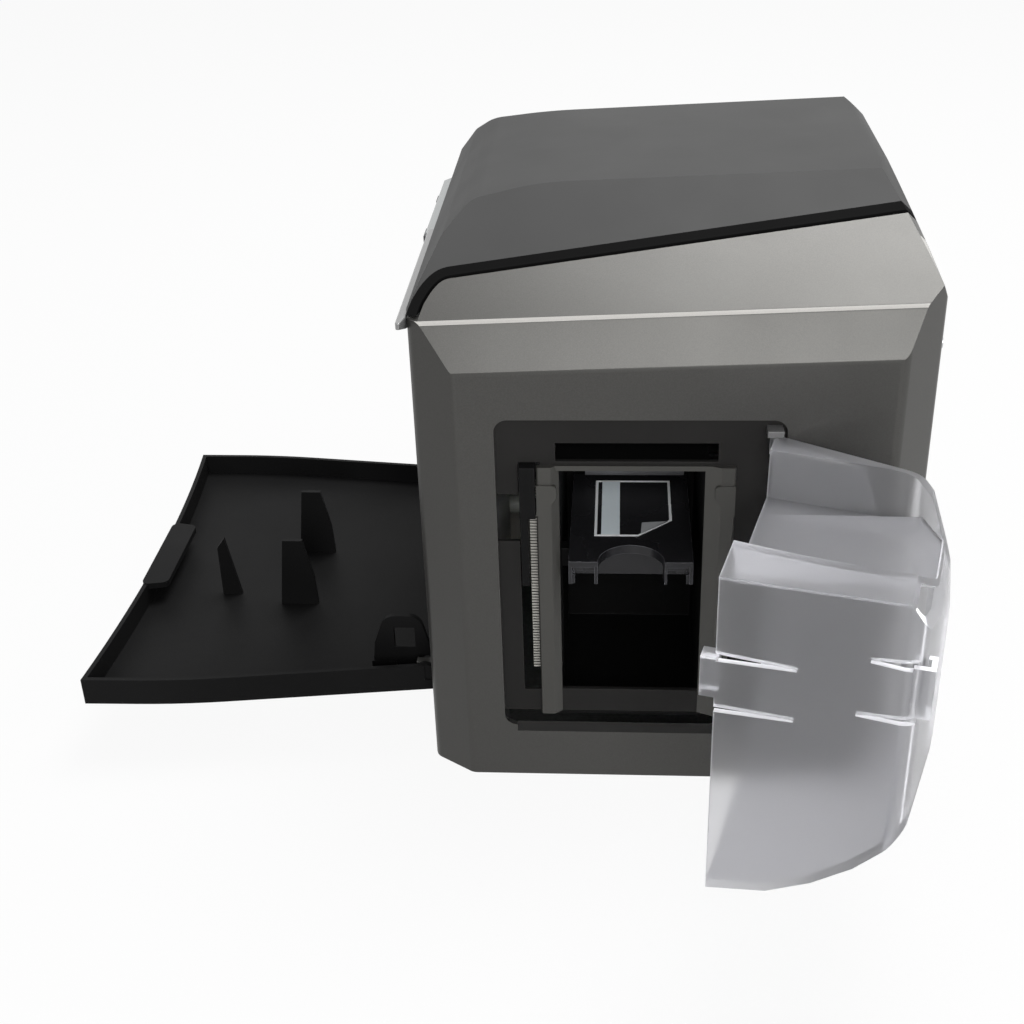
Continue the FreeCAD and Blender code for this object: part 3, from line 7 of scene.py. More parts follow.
import json
import logging
import math
from dataclasses import dataclass, field, replace
from enum import Enum, IntEnum
from itertools import product
from typing import Any, Callable, ClassVar

import bpy
from mathutils import Matrix, Vector

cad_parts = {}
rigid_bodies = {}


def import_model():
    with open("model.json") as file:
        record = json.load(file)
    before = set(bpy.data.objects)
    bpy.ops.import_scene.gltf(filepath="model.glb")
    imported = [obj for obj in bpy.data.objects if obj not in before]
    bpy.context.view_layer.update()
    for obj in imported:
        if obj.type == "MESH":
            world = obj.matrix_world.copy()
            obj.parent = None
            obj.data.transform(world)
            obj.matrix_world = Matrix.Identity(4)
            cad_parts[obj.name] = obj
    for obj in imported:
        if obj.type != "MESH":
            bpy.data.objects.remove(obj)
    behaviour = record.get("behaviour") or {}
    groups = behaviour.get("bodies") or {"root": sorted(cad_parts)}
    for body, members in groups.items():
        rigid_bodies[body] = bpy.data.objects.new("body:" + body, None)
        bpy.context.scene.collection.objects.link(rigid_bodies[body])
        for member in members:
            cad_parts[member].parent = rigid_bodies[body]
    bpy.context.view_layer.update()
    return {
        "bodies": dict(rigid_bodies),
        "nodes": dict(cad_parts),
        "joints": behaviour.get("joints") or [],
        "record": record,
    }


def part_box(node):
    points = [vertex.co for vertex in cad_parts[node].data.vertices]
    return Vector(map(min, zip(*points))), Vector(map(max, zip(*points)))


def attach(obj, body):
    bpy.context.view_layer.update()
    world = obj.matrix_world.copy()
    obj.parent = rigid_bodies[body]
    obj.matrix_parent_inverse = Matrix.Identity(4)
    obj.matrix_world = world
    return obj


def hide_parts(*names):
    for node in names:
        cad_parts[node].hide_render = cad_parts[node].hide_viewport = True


log = logging.getLogger("card_printer")
Colour = tuple[float, float, float]
Point = tuple[float, float, float]

# Rounding and shading that the pieces share
EDGE_SEGMENTS = 2  # steps across a rounded edge
FINE_SEGMENTS = 3  # steps across a finer one
COPY_EDGE_ANGLE = math.radians(28)  # past it, an edge of a copied node is rounded
NEW_EDGE_ANGLE = math.radians(30)  # past it, an edge of a new piece is rounded
SMOOTH_ANGLE = math.radians(35)  # up to it, an edge is shaded smooth
NORMAL_WEIGHT = 100  # lets the normals at a corner follow its largest face
EDGE_HIGHLIGHT_LIFT = 1.3  # how many times lighter a rounded edge is, as a painted highlight
EDGE_HIGHLIGHT_SLOT = 1  # material slot of rounded edges, which carry the painted highlight
OWN_SLOT = -1  # leaves each face in its own material slot

# Merging and measuring of meshes
MERGE_DISTANCE = 0.00001  # nearer points of a copied node become one
FLAT_ANGLE = math.radians(0.6)  # faces turned by less become one
LEAST_LENGTH = 1e-9  # stands for a face's edge length where that is zero
SQUARE_ON = 0.9  # least cosine at which a face looks in a direction
DISC_SIDES = 48  # sides of a round piece


class Grain(Enum):
    """How a surface breaks up close to."""

    SMOOTH = "smooth"
    FINE = "fine"
    PEBBLED = "pebbled"
    BRUSHED = "brushed"
    METALLIC = "metallic"


class PanelFace(IntEnum):
    """Material slots of a side panel beyond its flat faces and rounded edges."""

    # painted highlight on the crease under the slope
    CREASE = 2
    # painted shade on the opening's sill
    SILL = 3


class ClearFace(IntEnum):
    """Material slots of the clear hopper door."""

    WALL = 0
    # the rim is a painted highlight
    RIM_HIGHLIGHT = 1
    BAND = 2


class RackFace(IntEnum):
    """Material slots of the lift's rack."""

    GAP = 0
    TIP = 1


class LabelFace(IntEnum):
    """Material slots of the tray's pictogram."""

    OUTLINE = 0
    STRIPE = 1
    CORNER = 2


def find_node(tree: bpy.types.NodeTree, kind: str) -> bpy.types.Node:
    """Return the first node of one kind in a tree."""
    return next(node for node in tree.nodes if node.type == kind)


def set_sockets(node: bpy.types.Node, values: dict[str | int, Any]) -> None:
    """Set a node's input sockets, given by name or number."""
    for socket, value in values.items():
        node.inputs[socket].default_value = value


def add_node(tree: bpy.types.NodeTree, kind: str,
             values: dict[str | int, Any]) -> bpy.types.Node:
    """Add a node and set its input sockets.

    Args:
        tree: the tree that takes the node.
        kind: the node's type.
        values: what its input sockets hold, by name or number.

    Returns:
        The new node.
    """
    node = tree.nodes.new(kind)
    set_sockets(node, values)
    return node


@dataclass(frozen=True)
class Finish:
    """One procedural finish on Object coordinates.

    Attributes:
        name: the material's name.
        colour: the surface's own colour.
        roughness: roughness at the middle of the gloss patches.
        metallic: share of metal in the look.
        coat: weight of a clear coat.
        specular: strength of the plain reflection.
        grain: how the surface breaks up close to.
        grain_scale: size of the grain, in cells to a metre.
        relief: strength of the grain's bump.
        spread: share by which the colour varies.
        clear: share of light that passes through.
        ior: index of refraction.
    """

    name: str
    colour: Colour
    roughness: float = 0.5
    metallic: float = 0.0
    coat: float = 0.0
    specular: float = 0.5
    grain: Grain = Grain.FINE
    grain_scale: float = 900.0
    relief: float = 0.15
    spread: float = 0.08
    clear: float = 0.0
    ior: float = 1.5

    # Every finish has these in common
    coat_roughness: ClassVar[float] = 0.12
    brush_stretch: ClassVar[Point] = (0.03, 1.0, 1.0)
    cloud_scale: ClassVar[float] = 14.0
    cloud_detail: ClassVar[float] = 4.0
    cloud_limits: ClassVar[tuple[float, float]] = (0.3, 0.7)
    fleck_share: ClassVar[float] = 0.8
    patch_scale: ClassVar[float] = 22.0
    patch_detail: ClassVar[float] = 3.0
    patch_swing: ClassVar[float] = 0.06
    grain_detail: ClassVar[float] = 3.0
    grain_height: ClassVar[float] = 0.0002
    edge_gloss: ClassVar[float] = 0.08
    least_roughness: ClassVar[float] = 0.02
    least_edge_roughness: ClassVar[float] = 0.05

    def material(self) -> bpy.types.Material:
        """Build the finish's material on its first use.

        Returns:
            The material with the finish's name.
        """
        known = bpy.data.materials.get(self.name)
        if known:
            return known
        surface = bpy.data.materials.new(self.name)
        surface.use_nodes = True
        tree = surface.node_tree
        shader = find_node(tree, "BSDF_PRINCIPLED")
        set_sockets(shader, {
            "Metallic": self.metallic, "Coat Weight": self.coat,
            "Coat Roughness": self.coat_roughness, "Specular IOR Level": self.specular,
            "Transmission Weight": self.clear, "IOR": self.ior})
        place = tree.nodes.new("ShaderNodeTexCoord")
        self._colour(tree, shader, place)
        self._roughness(tree, shader, place)
        if self.grain is not Grain.SMOOTH:
            self._relief(tree, shader, place)
        return surface

    def painted_edge_highlight(self, lift: float = EDGE_HIGHLIGHT_LIFT) -> "Finish":
        """The same finish for rounded edges, lighter and glossier, as a painted highlight.

        Args:
            lift: how many times lighter the edges are, as a painted highlight.

        Returns:
            A finish under a name of its own.
        """
        lighter = tuple(min(1.0, channel * lift) for channel in self.colour)
        glossier = max(self.least_edge_roughness, self.roughness - self.edge_gloss)
        return replace(self, name=self.name + "_edge", colour=lighter, roughness=glossier)

    def _stretched(self, tree: bpy.types.NodeTree, place: bpy.types.Node) -> bpy.types.NodeSocket:
        """Object coordinates, drawn out along X for a brushed finish.

        Args:
            tree: the material's nodes.
            place: the node that gives the coordinates.

        Returns:
            The socket that gives them to a pattern.
        """
        mapping = tree.nodes.new("ShaderNodeMapping")
        if self.grain is Grain.BRUSHED:
            mapping.inputs["Scale"].default_value = self.brush_stretch
        tree.links.new(place.outputs["Object"], mapping.inputs["Vector"])
        return mapping.outputs["Vector"]

    def _colour(self, tree: bpy.types.NodeTree, shader: bpy.types.Node,
                place: bpy.types.Node) -> None:
        """Vary the colour: in flecks on metal, in wide soft clouds elsewhere.

        Args:
            tree: the material's nodes.
            shader: the shader that takes the colour.
            place: the node that gives the coordinates.
        """
        flecked = self.grain in (Grain.METALLIC, Grain.BRUSHED)
        scale = self.grain_scale * self.fleck_share if flecked else self.cloud_scale
        cloud = add_node(tree, "ShaderNodeTexNoise",
                         {"Scale": scale, "Detail": self.cloud_detail})
        tree.links.new(self._stretched(tree, place), cloud.inputs["Vector"])
        ramp = tree.nodes.new("ShaderNodeValToRGB")
        shares = (1 - self.spread, 1 + self.spread)
        for stop, limit, share in zip(ramp.color_ramp.elements, self.cloud_limits, shares):
            stop.position = limit
            stop.color = (*(min(1.0, channel * share) for channel in self.colour), 1)
        tree.links.new(cloud.outputs["Fac"], ramp.inputs["Fac"])
        tree.links.new(ramp.outputs["Color"], shader.inputs["Base Color"])

    def _roughness(self, tree: bpy.types.NodeTree, shader: bpy.types.Node,
                   place: bpy.types.Node) -> None:
        """Vary the gloss in soft patches, as handled plastic does.

        Args:
            tree: the material's nodes.
            shader: the shader that takes the roughness.
            place: the node that gives the coordinates.
        """
        patch = add_node(tree, "ShaderNodeTexNoise",
                         {"Scale": self.patch_scale, "Detail": self.patch_detail})
        tree.links.new(place.outputs["Object"], patch.inputs["Vector"])
        span = add_node(tree, "ShaderNodeMapRange", {
            "To Min": max(self.least_roughness, self.roughness - self.patch_swing),
            "To Max": min(1.0, self.roughness + self.patch_swing)})
        tree.links.new(patch.outputs["Fac"], span.inputs["Value"])
        tree.links.new(span.outputs["Result"], shader.inputs["Roughness"])

    def _relief(self, tree: bpy.types.NodeTree, shader: bpy.types.Node,
                place: bpy.types.Node) -> None:
        """Give the surface a fine moulded texture in its bump.

        Args:
            tree: the material's nodes.
            shader: the shader that takes the bump.
            place: the node that gives the coordinates.
        """
        if self.grain is Grain.PEBBLED:
            pattern = tree.nodes.new("ShaderNodeTexVoronoi")
            height = pattern.outputs["Distance"]
        else:
            pattern = add_node(tree, "ShaderNodeTexNoise", {"Detail": self.grain_detail})
            height = pattern.outputs["Fac"]
        pattern.inputs["Scale"].default_value = self.grain_scale
        tree.links.new(self._stretched(tree, place), pattern.inputs["Vector"])
        bump = add_node(tree, "ShaderNodeBump",
                        {"Strength": self.relief, "Distance": self.grain_height})
        tree.links.new(height, bump.inputs["Height"])
        tree.links.new(bump.outputs["Normal"], shader.inputs["Normal"])


# Finishes of the casing and the front door
CASING = Finish("casing_grey", (0.062, 0.061, 0.058), roughness=0.34, metallic=0.5,
                specular=0.12, grain=Grain.METALLIC, grain_scale=2600.0, relief=0.06,
                spread=0.10)
# Crease: a light finish as a painted highlight along the crease under the side panels' slope
CREASE = Finish("casing_crease_highlight", (0.42, 0.41, 0.39), roughness=0.22, metallic=0.4,
                grain=Grain.METALLIC, grain_scale=2600.0, relief=0.03, spread=0.06)
COVER = Finish("cover_charcoal", (0.040, 0.040, 0.0398), roughness=0.55, specular=0.10,
               grain_scale=1500.0, relief=0.10)
SEAM = Finish("seam_black", (0.004, 0.004, 0.004), roughness=0.7, specular=0.02, relief=0.1)
DOOR = Finish("door_black", (0.0058, 0.0058, 0.0059), roughness=0.48, specular=0.05,
              grain=Grain.PEBBLED, grain_scale=1600.0, relief=0.2, spread=0.2)
SHEET = Finish("zinc_sheet", (0.42, 0.43, 0.43), roughness=0.4, metallic=0.9,
               grain=Grain.METALLIC, grain_scale=700.0, relief=0.05, spread=0.12)
FOOT = Finish("foot_rubber", (0.02, 0.02, 0.02), roughness=0.75, grain=Grain.PEBBLED,
              grain_scale=1100.0)
STEEL = Finish("plain_steel", (0.5, 0.5, 0.51), roughness=0.28, metallic=1.0,
               grain=Grain.BRUSHED, grain_scale=1400.0, relief=0.08, spread=0.12)

# Finishes of the card hopper and its clear door
# Bezel: darker than the casing as painted shade for its recess; the panels' sills take it too
BEZEL_SHADE = Finish("bezel_painted_shade", (0.017, 0.0165, 0.016), specular=0.04, grain_scale=1400.0,
               relief=0.10)
WELL = Finish("well_black", (0.004, 0.004, 0.004), roughness=0.6, specular=0.05,
              grain=Grain.PEBBLED, grain_scale=1300.0)
POST = Finish("post_grey", (0.050, 0.049, 0.045), roughness=0.3, metallic=0.3, specular=0.3,
              grain_scale=1500.0, relief=0.06)
RACK = Finish("rack_white", (0.36, 0.35, 0.32), roughness=0.4, relief=0.05)
TRAY = Finish("tray_black", (0.014, 0.014, 0.0155), roughness=0.28, specular=0.25, relief=0.08)
PRINT = Finish("label_white", (0.92, 0.94, 0.95), roughness=0.45, relief=0.04, spread=0.03)
PALE_BLUE = Finish("label_blue", (0.84, 0.93, 0.98), roughness=0.45, relief=0.04, spread=0.03)
FOLD_GREY = Finish("label_grey", (0.42, 0.43, 0.44), roughness=0.45, relief=0.04, spread=0.03)
CLEAR = Finish("clear_wall", (0.66, 0.66, 0.675), roughness=0.30, specular=0.4,
               grain=Grain.SMOOTH, spread=0.04, clear=0.90, ior=1.14)
FROST = Finish("clear_frost", (0.60, 0.60, 0.62), roughness=0.32, specular=0.4,
               grain=Grain.SMOOTH, spread=0.05, clear=0.86, ior=1.14)
# Rim: near white as a painted highlight on the clear door's narrow rims and rounded edges
RIM_HIGHLIGHT = Finish("clear_rim_highlight", (0.95, 0.95, 0.97), roughness=0.2, grain=Grain.SMOOTH, spread=0.02,
             clear=0.15, ior=1.3)
BRACKET = Finish("bracket_grey", (0.13, 0.13, 0.13), roughness=0.4, metallic=0.4,
                 grain=Grain.METALLIC, relief=0.05)

# Finishes of the control strip and panel
SILVER = Finish("strip_silver", (0.24, 0.24, 0.24), roughness=0.3, metallic=0.6, coat=0.1,
                specular=0.4, grain=Grain.METALLIC, grain_scale=2200.0, relief=0.05,
                spread=0.06)
PANEL = Finish("panel_silver", (0.30, 0.31, 0.31), roughness=0.34, metallic=0.5, specular=0.4,
               grain=Grain.METALLIC, grain_scale=2200.0, relief=0.05)
PANE = Finish("display_pane", (0.10, 0.12, 0.12), roughness=0.12, coat=0.4,
              grain=Grain.SMOOTH, spread=0.1)
LIGHT = Finish("light_pane", (0.6, 0.63, 0.6), roughness=0.3, grain=Grain.SMOOTH, spread=0.05)
KEY = Finish("key_rubber", (0.03, 0.03, 0.032), roughness=0.6, grain=Grain.PEBBLED,
             grain_scale=1800.0)

# Finishes of the engine, the cartridges and the rear fittings
ROLLER = Finish("roller_rubber", (0.05, 0.05, 0.055), roughness=0.62, grain=Grain.PEBBLED,
                grain_scale=2200.0)
CARTRIDGE = Finish("cartridge_cream", (0.52, 0.51, 0.47), relief=0.1)
HANDLE = Finish("handle_green", (0.03, 0.16, 0.10), roughness=0.42, relief=0.12)
RIBBON = Finish("ribbon_film", (0.05, 0.02, 0.06), roughness=0.16, coat=0.4,
                grain=Grain.BRUSHED, grain_scale=1500.0, relief=0.05, spread=0.3)
FILM = Finish("clear_film_roll", (0.5, 0.52, 0.48), roughness=0.14, coat=0.4,
              grain=Grain.BRUSHED, grain_scale=1500.0, relief=0.05, spread=0.1)
ALLOY = Finish("head_alloy", (0.56, 0.56, 0.57), roughness=0.33, metallic=1.0,
               grain=Grain.BRUSHED, grain_scale=1200.0, relief=0.06)
BOARD = Finish("board_green", (0.01, 0.10, 0.035), roughness=0.35, coat=0.2,
               grain_scale=500.0, relief=0.1, spread=0.25)
BELT = Finish("belt_black", (0.014, 0.014, 0.014), roughness=0.7, relief=0.3)
SOCKET = Finish("socket_black", (0.015, 0.015, 0.016), roughness=0.45)
FAN = Finish("fan_black", (0.02, 0.02, 0.021))


def deselect() -> None:
    """Leave edit mode and clear the selection."""
    if bpy.context.mode != "OBJECT":
        bpy.ops.object.mode_set(mode="OBJECT")
    bpy.ops.object.select_all(action="DESELECT")


def take(piece: bpy.types.Object) -> None:
    """Select one object and make it active.

    Args:
        piece: the object.
    """
    deselect()
    piece.select_set(True)
    bpy.context.view_layer.objects.active = piece


def apply_modifier(piece: bpy.types.Object, kind: str, **settings: Any) -> None:
    """Add a modifier with these settings and apply it.

    Args:
        piece: the piece that it changes.
        kind: the modifier's type.
        **settings: values of its properties by name.
    """
    take(piece)
    modifier = piece.modifiers.new(kind.title(), kind)
    for name, value in settings.items():
        setattr(modifier, name, value)
    bpy.ops.object.modifier_apply(modifier=modifier.name)


def dress(piece: bpy.types.Object, *finishes: Finish) -> None:
    """Give an object its finishes, one material slot each.

    Args:
        piece: the object.
        *finishes: its finishes in the order of the slots.
    """
    piece.data.materials.clear()
    for finish in finishes:
        piece.data.materials.append(finish.material())


def start_box(name: str, low: Point, high: Point) -> bpy.types.Object:
    """Add a box between two corners, with its place in its mesh.

    Args:
        name: the box's name.
        low: its corner with the least coordinates.
        high: its corner with the greatest coordinates.

    Returns:
        The box.
    """
    deselect()
    middle = [(first + last) / 2 for first, last in zip(low, high)]
    bpy.ops.mesh.primitive_cube_add(size=1.0, location=middle)
    piece = bpy.context.active_object
    piece.name = name
    piece.scale = [last - first for first, last in zip(low, high)]
    bpy.ops.object.transform_apply(location=True, rotation=False, scale=True)
    return piece


def start_disc(name: str, middle: Point, radius: float, length: float) -> bpy.types.Object:
    """Add a short cylinder along X, with its place in its mesh.

    Args:
        name: the cylinder's name.
        middle: its centre.
        radius: its radius in metres.
        length: its length in metres.

    Returns:
        The cylinder.
    """
    deselect()
    bpy.ops.mesh.primitive_cylinder_add(vertices=DISC_SIDES, radius=radius, depth=length,
                                        location=middle, rotation=(0, math.radians(90), 0))
    piece = bpy.context.active_object
    piece.name = name
    bpy.ops.object.transform_apply(location=True, rotation=True, scale=True)
    return piece


def pick_faces(piece: bpy.types.Object,
               wanted: Callable[[bpy.types.MeshPolygon], bool]) -> None:
    """Enter edit mode on a piece with only the wanted faces selected.

    Args:
        piece: the piece.
        wanted: says whether a face is wanted.
    """
    take(piece)
    bpy.ops.object.mode_set(mode="EDIT")
    bpy.ops.mesh.select_mode(type="FACE")
    bpy.ops.mesh.select_all(action="DESELECT")
    bpy.ops.object.mode_set(mode="OBJECT")
    for face in piece.data.polygons:
        face.select = wanted(face)
    bpy.ops.object.mode_set(mode="EDIT")


def faces_front(face: bpy.types.MeshPolygon) -> bool:
    """Say whether a face looks to the printer's front."""
    return face.normal.x < -SQUARE_ON


def push_faces(border: float, travel: float) -> None:
    """Shrink the selected faces in their plane and extrude them along X.

    Args:
        border: width of the border that stays round them, in metres.
        travel: how far they then move along X, in metres.
    """
    bpy.ops.mesh.inset(thickness=border)
    bpy.ops.mesh.extrude_region_move(TRANSFORM_OT_translate={"value": (travel, 0, 0)})


def join_pieces(pieces: list[bpy.types.Object]) -> bpy.types.Object:
    """Join pieces to one object.

    Args:
        pieces: the pieces; the joined object keeps the first one's name.

    Returns:
        The joined object.
    """
    deselect()
    for piece in pieces:
        piece.select_set(True)
    bpy.context.view_layer.objects.active = pieces[0]
    bpy.ops.object.join()
    return pieces[0]


def round_edges(piece: bpy.types.Object, width: float, segments: int = EDGE_SEGMENTS,
                angle: float = NEW_EDGE_ANGLE, slot: int = OWN_SLOT) -> None:
    """Round a piece's sharp edges and shade it smooth between them.

    Args:
        piece: the piece.
        width: width of the rounded edges in metres.
        segments: steps across each rounded edge.
        angle: angle in radians past which an edge is rounded.
        slot: material slot of the rounded edges.
    """
    apply_modifier(piece, "BEVEL", width=width, segments=segments, limit_method="ANGLE",
                   angle_limit=angle, use_clamp_overlap=True, material=slot)
    take(piece)
    bpy.ops.object.shade_smooth_by_angle(angle=SMOOTH_ANGLE)


def dress_by_face(piece: bpy.types.Object, finishes: tuple[Finish, ...],
                  choose: Callable[[bpy.types.MeshPolygon, float], int]) -> None:
    """Give each face of a piece one of several finishes.

    Args:
        piece: the piece to dress.
        finishes: the finishes, one slot each.
        choose: gives a face's slot from the face and its mean width in metres.
    """
    mesh = piece.data
    slots = []
    for face in mesh.polygons:
        corners = [mesh.vertices[index].co for index in face.vertices]
        around = sum((corners[index] - corners[index - 1]).length
                     for index in range(len(corners)))
        slots.append(int(choose(face, 2 * face.area / max(around, LEAST_LENGTH))))
    dress(piece, *finishes)
    for face, slot in zip(mesh.polygons, slots):
        face.material_index = slot


@dataclass
class Workshop:
    """Makes the visible pieces around the frame's nodes."""

    frame: dict[str, Any]
    bodies: dict[str, str] = field(default_factory=dict)
    slots: dict[str, str] = field(default_factory=dict)

    def __post_init__(self) -> None:
        """Note each node's body and material slot."""
        record = self.frame["record"]
        for body, nodes in record["behaviour"]["bodies"].items():
            for node in nodes:
                self.bodies[node] = body
        for entry in record["subparts"]:
            self.slots[entry["node"]] = entry["material_slot"]

    def keep(self, node: str, finish: Finish) -> None:
        """Show a node's own solid with this finish."""
        dress(self.frame["nodes"][node], finish)
        log.info("node %s keeps its solid", node)

    def soften(self, node: str, finish: Finish, width: float, segments: int = EDGE_SEGMENTS,
               lift: float = EDGE_HIGHLIGHT_LIFT) -> bpy.types.Object:
        """Stand a copy with rounded edges in a node's place.

        Args:
            node: name of the node.
            finish: what the copy is dressed in.
            width: width of the rounded edges in metres.
            segments: steps across each rounded edge.
            lift: how many times lighter the rounded edges are, as a painted highlight.

        Returns:
            The new piece.
        """
        piece = self.copy(node)
        self.round_off(piece, finish, width, segments, lift)
        return piece

    def round_off(self, piece: bpy.types.Object, finish: Finish, width: float,
                  segments: int = EDGE_SEGMENTS, lift: float = EDGE_HIGHLIGHT_LIFT) -> None:
        """Round and dress a piece that already stands in its node's place.

        Args:
            piece: the piece.
            finish: what it is dressed in.
            width: width of the rounded edges in metres.
            segments: steps across each rounded edge.
            lift: how many times lighter the rounded edges are, as a painted highlight.
        """
        # the rounded edges take a lighter copy of the finish as a painted highlight
        dress(piece, finish, finish.painted_edge_highlight(lift))
        round_edges(piece, width, segments, COPY_EDGE_ANGLE, EDGE_HIGHLIGHT_SLOT)
        apply_modifier(piece, "WEIGHTED_NORMAL", weight=NORMAL_WEIGHT, keep_sharp=True)

    def copy(self, node: str) -> bpy.types.Object:
        """Stand a merged copy of a node's mesh in the node's place.

        Args:
            node: name of the node.

        Returns:
            The new piece.
        """
        source = self.frame["nodes"][node]
        piece = bpy.data.objects.new(node + "_shell", source.data.copy())
        bpy.context.scene.collection.objects.link(piece)
        take(piece)
        bpy.ops.object.mode_set(mode="EDIT")
        bpy.ops.mesh.select_all(action="SELECT")
        bpy.ops.mesh.remove_doubles(threshold=MERGE_DISTANCE)
        bpy.ops.mesh.dissolve_limited(angle_limit=FLAT_ANGLE)
        bpy.ops.object.mode_set(mode="OBJECT")
        self.place(piece, self.bodies[node], self.slots[node], node)
        return piece

    def place(self, piece: bpy.types.Object, body: str, slot: str, *nodes: str) -> None:
        """Let a piece ride on a body and stand for nodes.

        Args:
            piece: the piece.
            body: name of the body that carries it.
            slot: name of its material slot in the part; not used.
            *nodes: names of the nodes that it replaces, if any.
        """
        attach(piece, body)
        if nodes:
            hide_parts(*nodes)
        log.info("piece %s rides on %s", piece.name, body)


@dataclass
class Casing:
    """The panels, cover, seam, feet and base.

    The crease is the narrow face under a side panel's slope, made light as a painted highlight,
    and the sill the bevelled lower edge of its opening, made dark as painted shade. Both are
    found by tilt_low and tilt_high, the limits of their normals' upward part, and by their width
    or level.
    """

    shop: Workshop
    panel_edge: float = 0.0009
    cover_edge: float = 0.0008
    foot_edge: float = 0.0008
    screw_edge: float = 0.0003
    tilt_low: float = 0.52
    tilt_high: float = 0.80
    crease_width: float = 0.0024
    crease_level: float = 0.16
    sill_level: float = 0.04
    screw_radius: float = 0.003
    cross_arm: float = 0.0018
    cross_width: float = 0.0004
    cross_depth: float = 0.0012
    cutter_clearance: float = 0.001

    def build(self) -> None:
        """Dress the casing."""
        for node in ("front_frame", "rear_panel"):
            self.shop.soften(node, CASING, self.panel_edge)
        for node in ("hopper_side_panel", "far_side_panel"):
            panel = self.shop.soften(node, CASING, self.panel_edge)
            # the crease takes a painted highlight and the sill the bezel's painted shade
            dress_by_face(panel, (CASING, CASING.painted_edge_highlight(), CREASE, BEZEL_SHADE), self._panel_slot)
        self.shop.soften("top_cover", COVER, self.cover_edge)
        self.shop.keep("cover_gasket", SEAM)
        self.shop.keep("base_pan", SHEET)
        self.shop.soften("rubber_feet", FOOT, self.foot_edge)
        self.shop.keep("cover_hinge_brackets", STEEL)
        self._screws()

    def _panel_slot(self, face: bpy.types.MeshPolygon, width: float) -> int:
        """Give a side panel's crease a painted highlight and its opening's sill a painted shade.

        Args:
            face: a face of the panel.
            width: the face's mean width in metres.

        Returns:
            The slot of its finish.
        """
        tilted = self.tilt_low < face.normal.z < self.tilt_high
        if tilted and face.center.z < self.sill_level:
            return PanelFace.SILL
        crease = tilted and width < self.crease_width and face.center.z > self.crease_level
        return PanelFace.CREASE if crease else face.material_index

    def _screws(self) -> None:
        """Cut a cross recess into the head of each screw."""
        heads = self.shop.soften("case_screws", STEEL, self.screw_edge)
        low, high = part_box("case_screws")
        columns = (low[1] + self.screw_radius, high[1] - self.screw_radius)
        rows = (low[2] + self.screw_radius, high[2] - self.screw_radius)
        arms = ((self.cross_arm, self.cross_width), (self.cross_width, self.cross_arm))
        for across, up, (wide, tall) in product(columns, rows, arms):
            cutter = start_box("cross_cutter",
                               (high[0] - self.cross_depth, across - wide, up - tall),
                               (high[0] + self.cutter_clearance, across + wide, up + tall))
            apply_modifier(heads, "BOOLEAN", operation="DIFFERENCE", object=cutter,
                           solver="EXACT")
            bpy.data.objects.remove(cutter)


@dataclass
class Doors:
    """The open front door and the clear hopper door, with their hinges.

    A face of the clear door whose normal goes up or down by more than rim_slope, or looks the
    way the door closes, is part of the rim, near white as a painted highlight, where it is
    narrower than rim_width. A wider one is frosted from band_slope on. open_angle is how far
    the door is drawn open.
    """

    shop: Workshop
    door_edge: float = 0.0006
    clear_edge: float = 0.0008
    bracket_edge: float = 0.0003
    rim_width: float = 0.003
    rim_slope: float = 0.35
    band_slope: float = 0.45
    open_angle: float = math.radians(75)

    def build(self) -> None:
        """Dress both doors."""
        self.shop.soften("front_door", DOOR, self.door_edge)
        self.shop.keep("front_door_pins", STEEL)
        shell = self.shop.soften("hopper_door", CLEAR, self.clear_edge, FINE_SEGMENTS)
        # its rims and rounded edges take a painted highlight
        dress_by_face(shell, (CLEAR, RIM_HIGHLIGHT, FROST), self._clear_slot)
        self.shop.soften("hopper_hinge_brackets", BRACKET, self.bracket_edge)

    def _clear_slot(self, face: bpy.types.MeshPolygon, width: float) -> int:
        """Give the clear shell's rims and edges a painted highlight and tell its frosted bands
        from its walls.

        Args:
            face: a face of the shell.
            width: the face's mean width in metres.

        Returns:
            The slot of its finish.
        """
        closing = Vector((-math.sin(self.open_angle), math.cos(self.open_angle), 0))
        turned = abs(face.normal.z) > self.rim_slope or face.normal.dot(closing) > SQUARE_ON
        if face.material_index == EDGE_HIGHLIGHT_SLOT or (turned and width < self.rim_width):
            return ClearFace.RIM_HIGHLIGHT
        return ClearFace.BAND if abs(face.normal.z) > self.band_slope else ClearFace.WALL


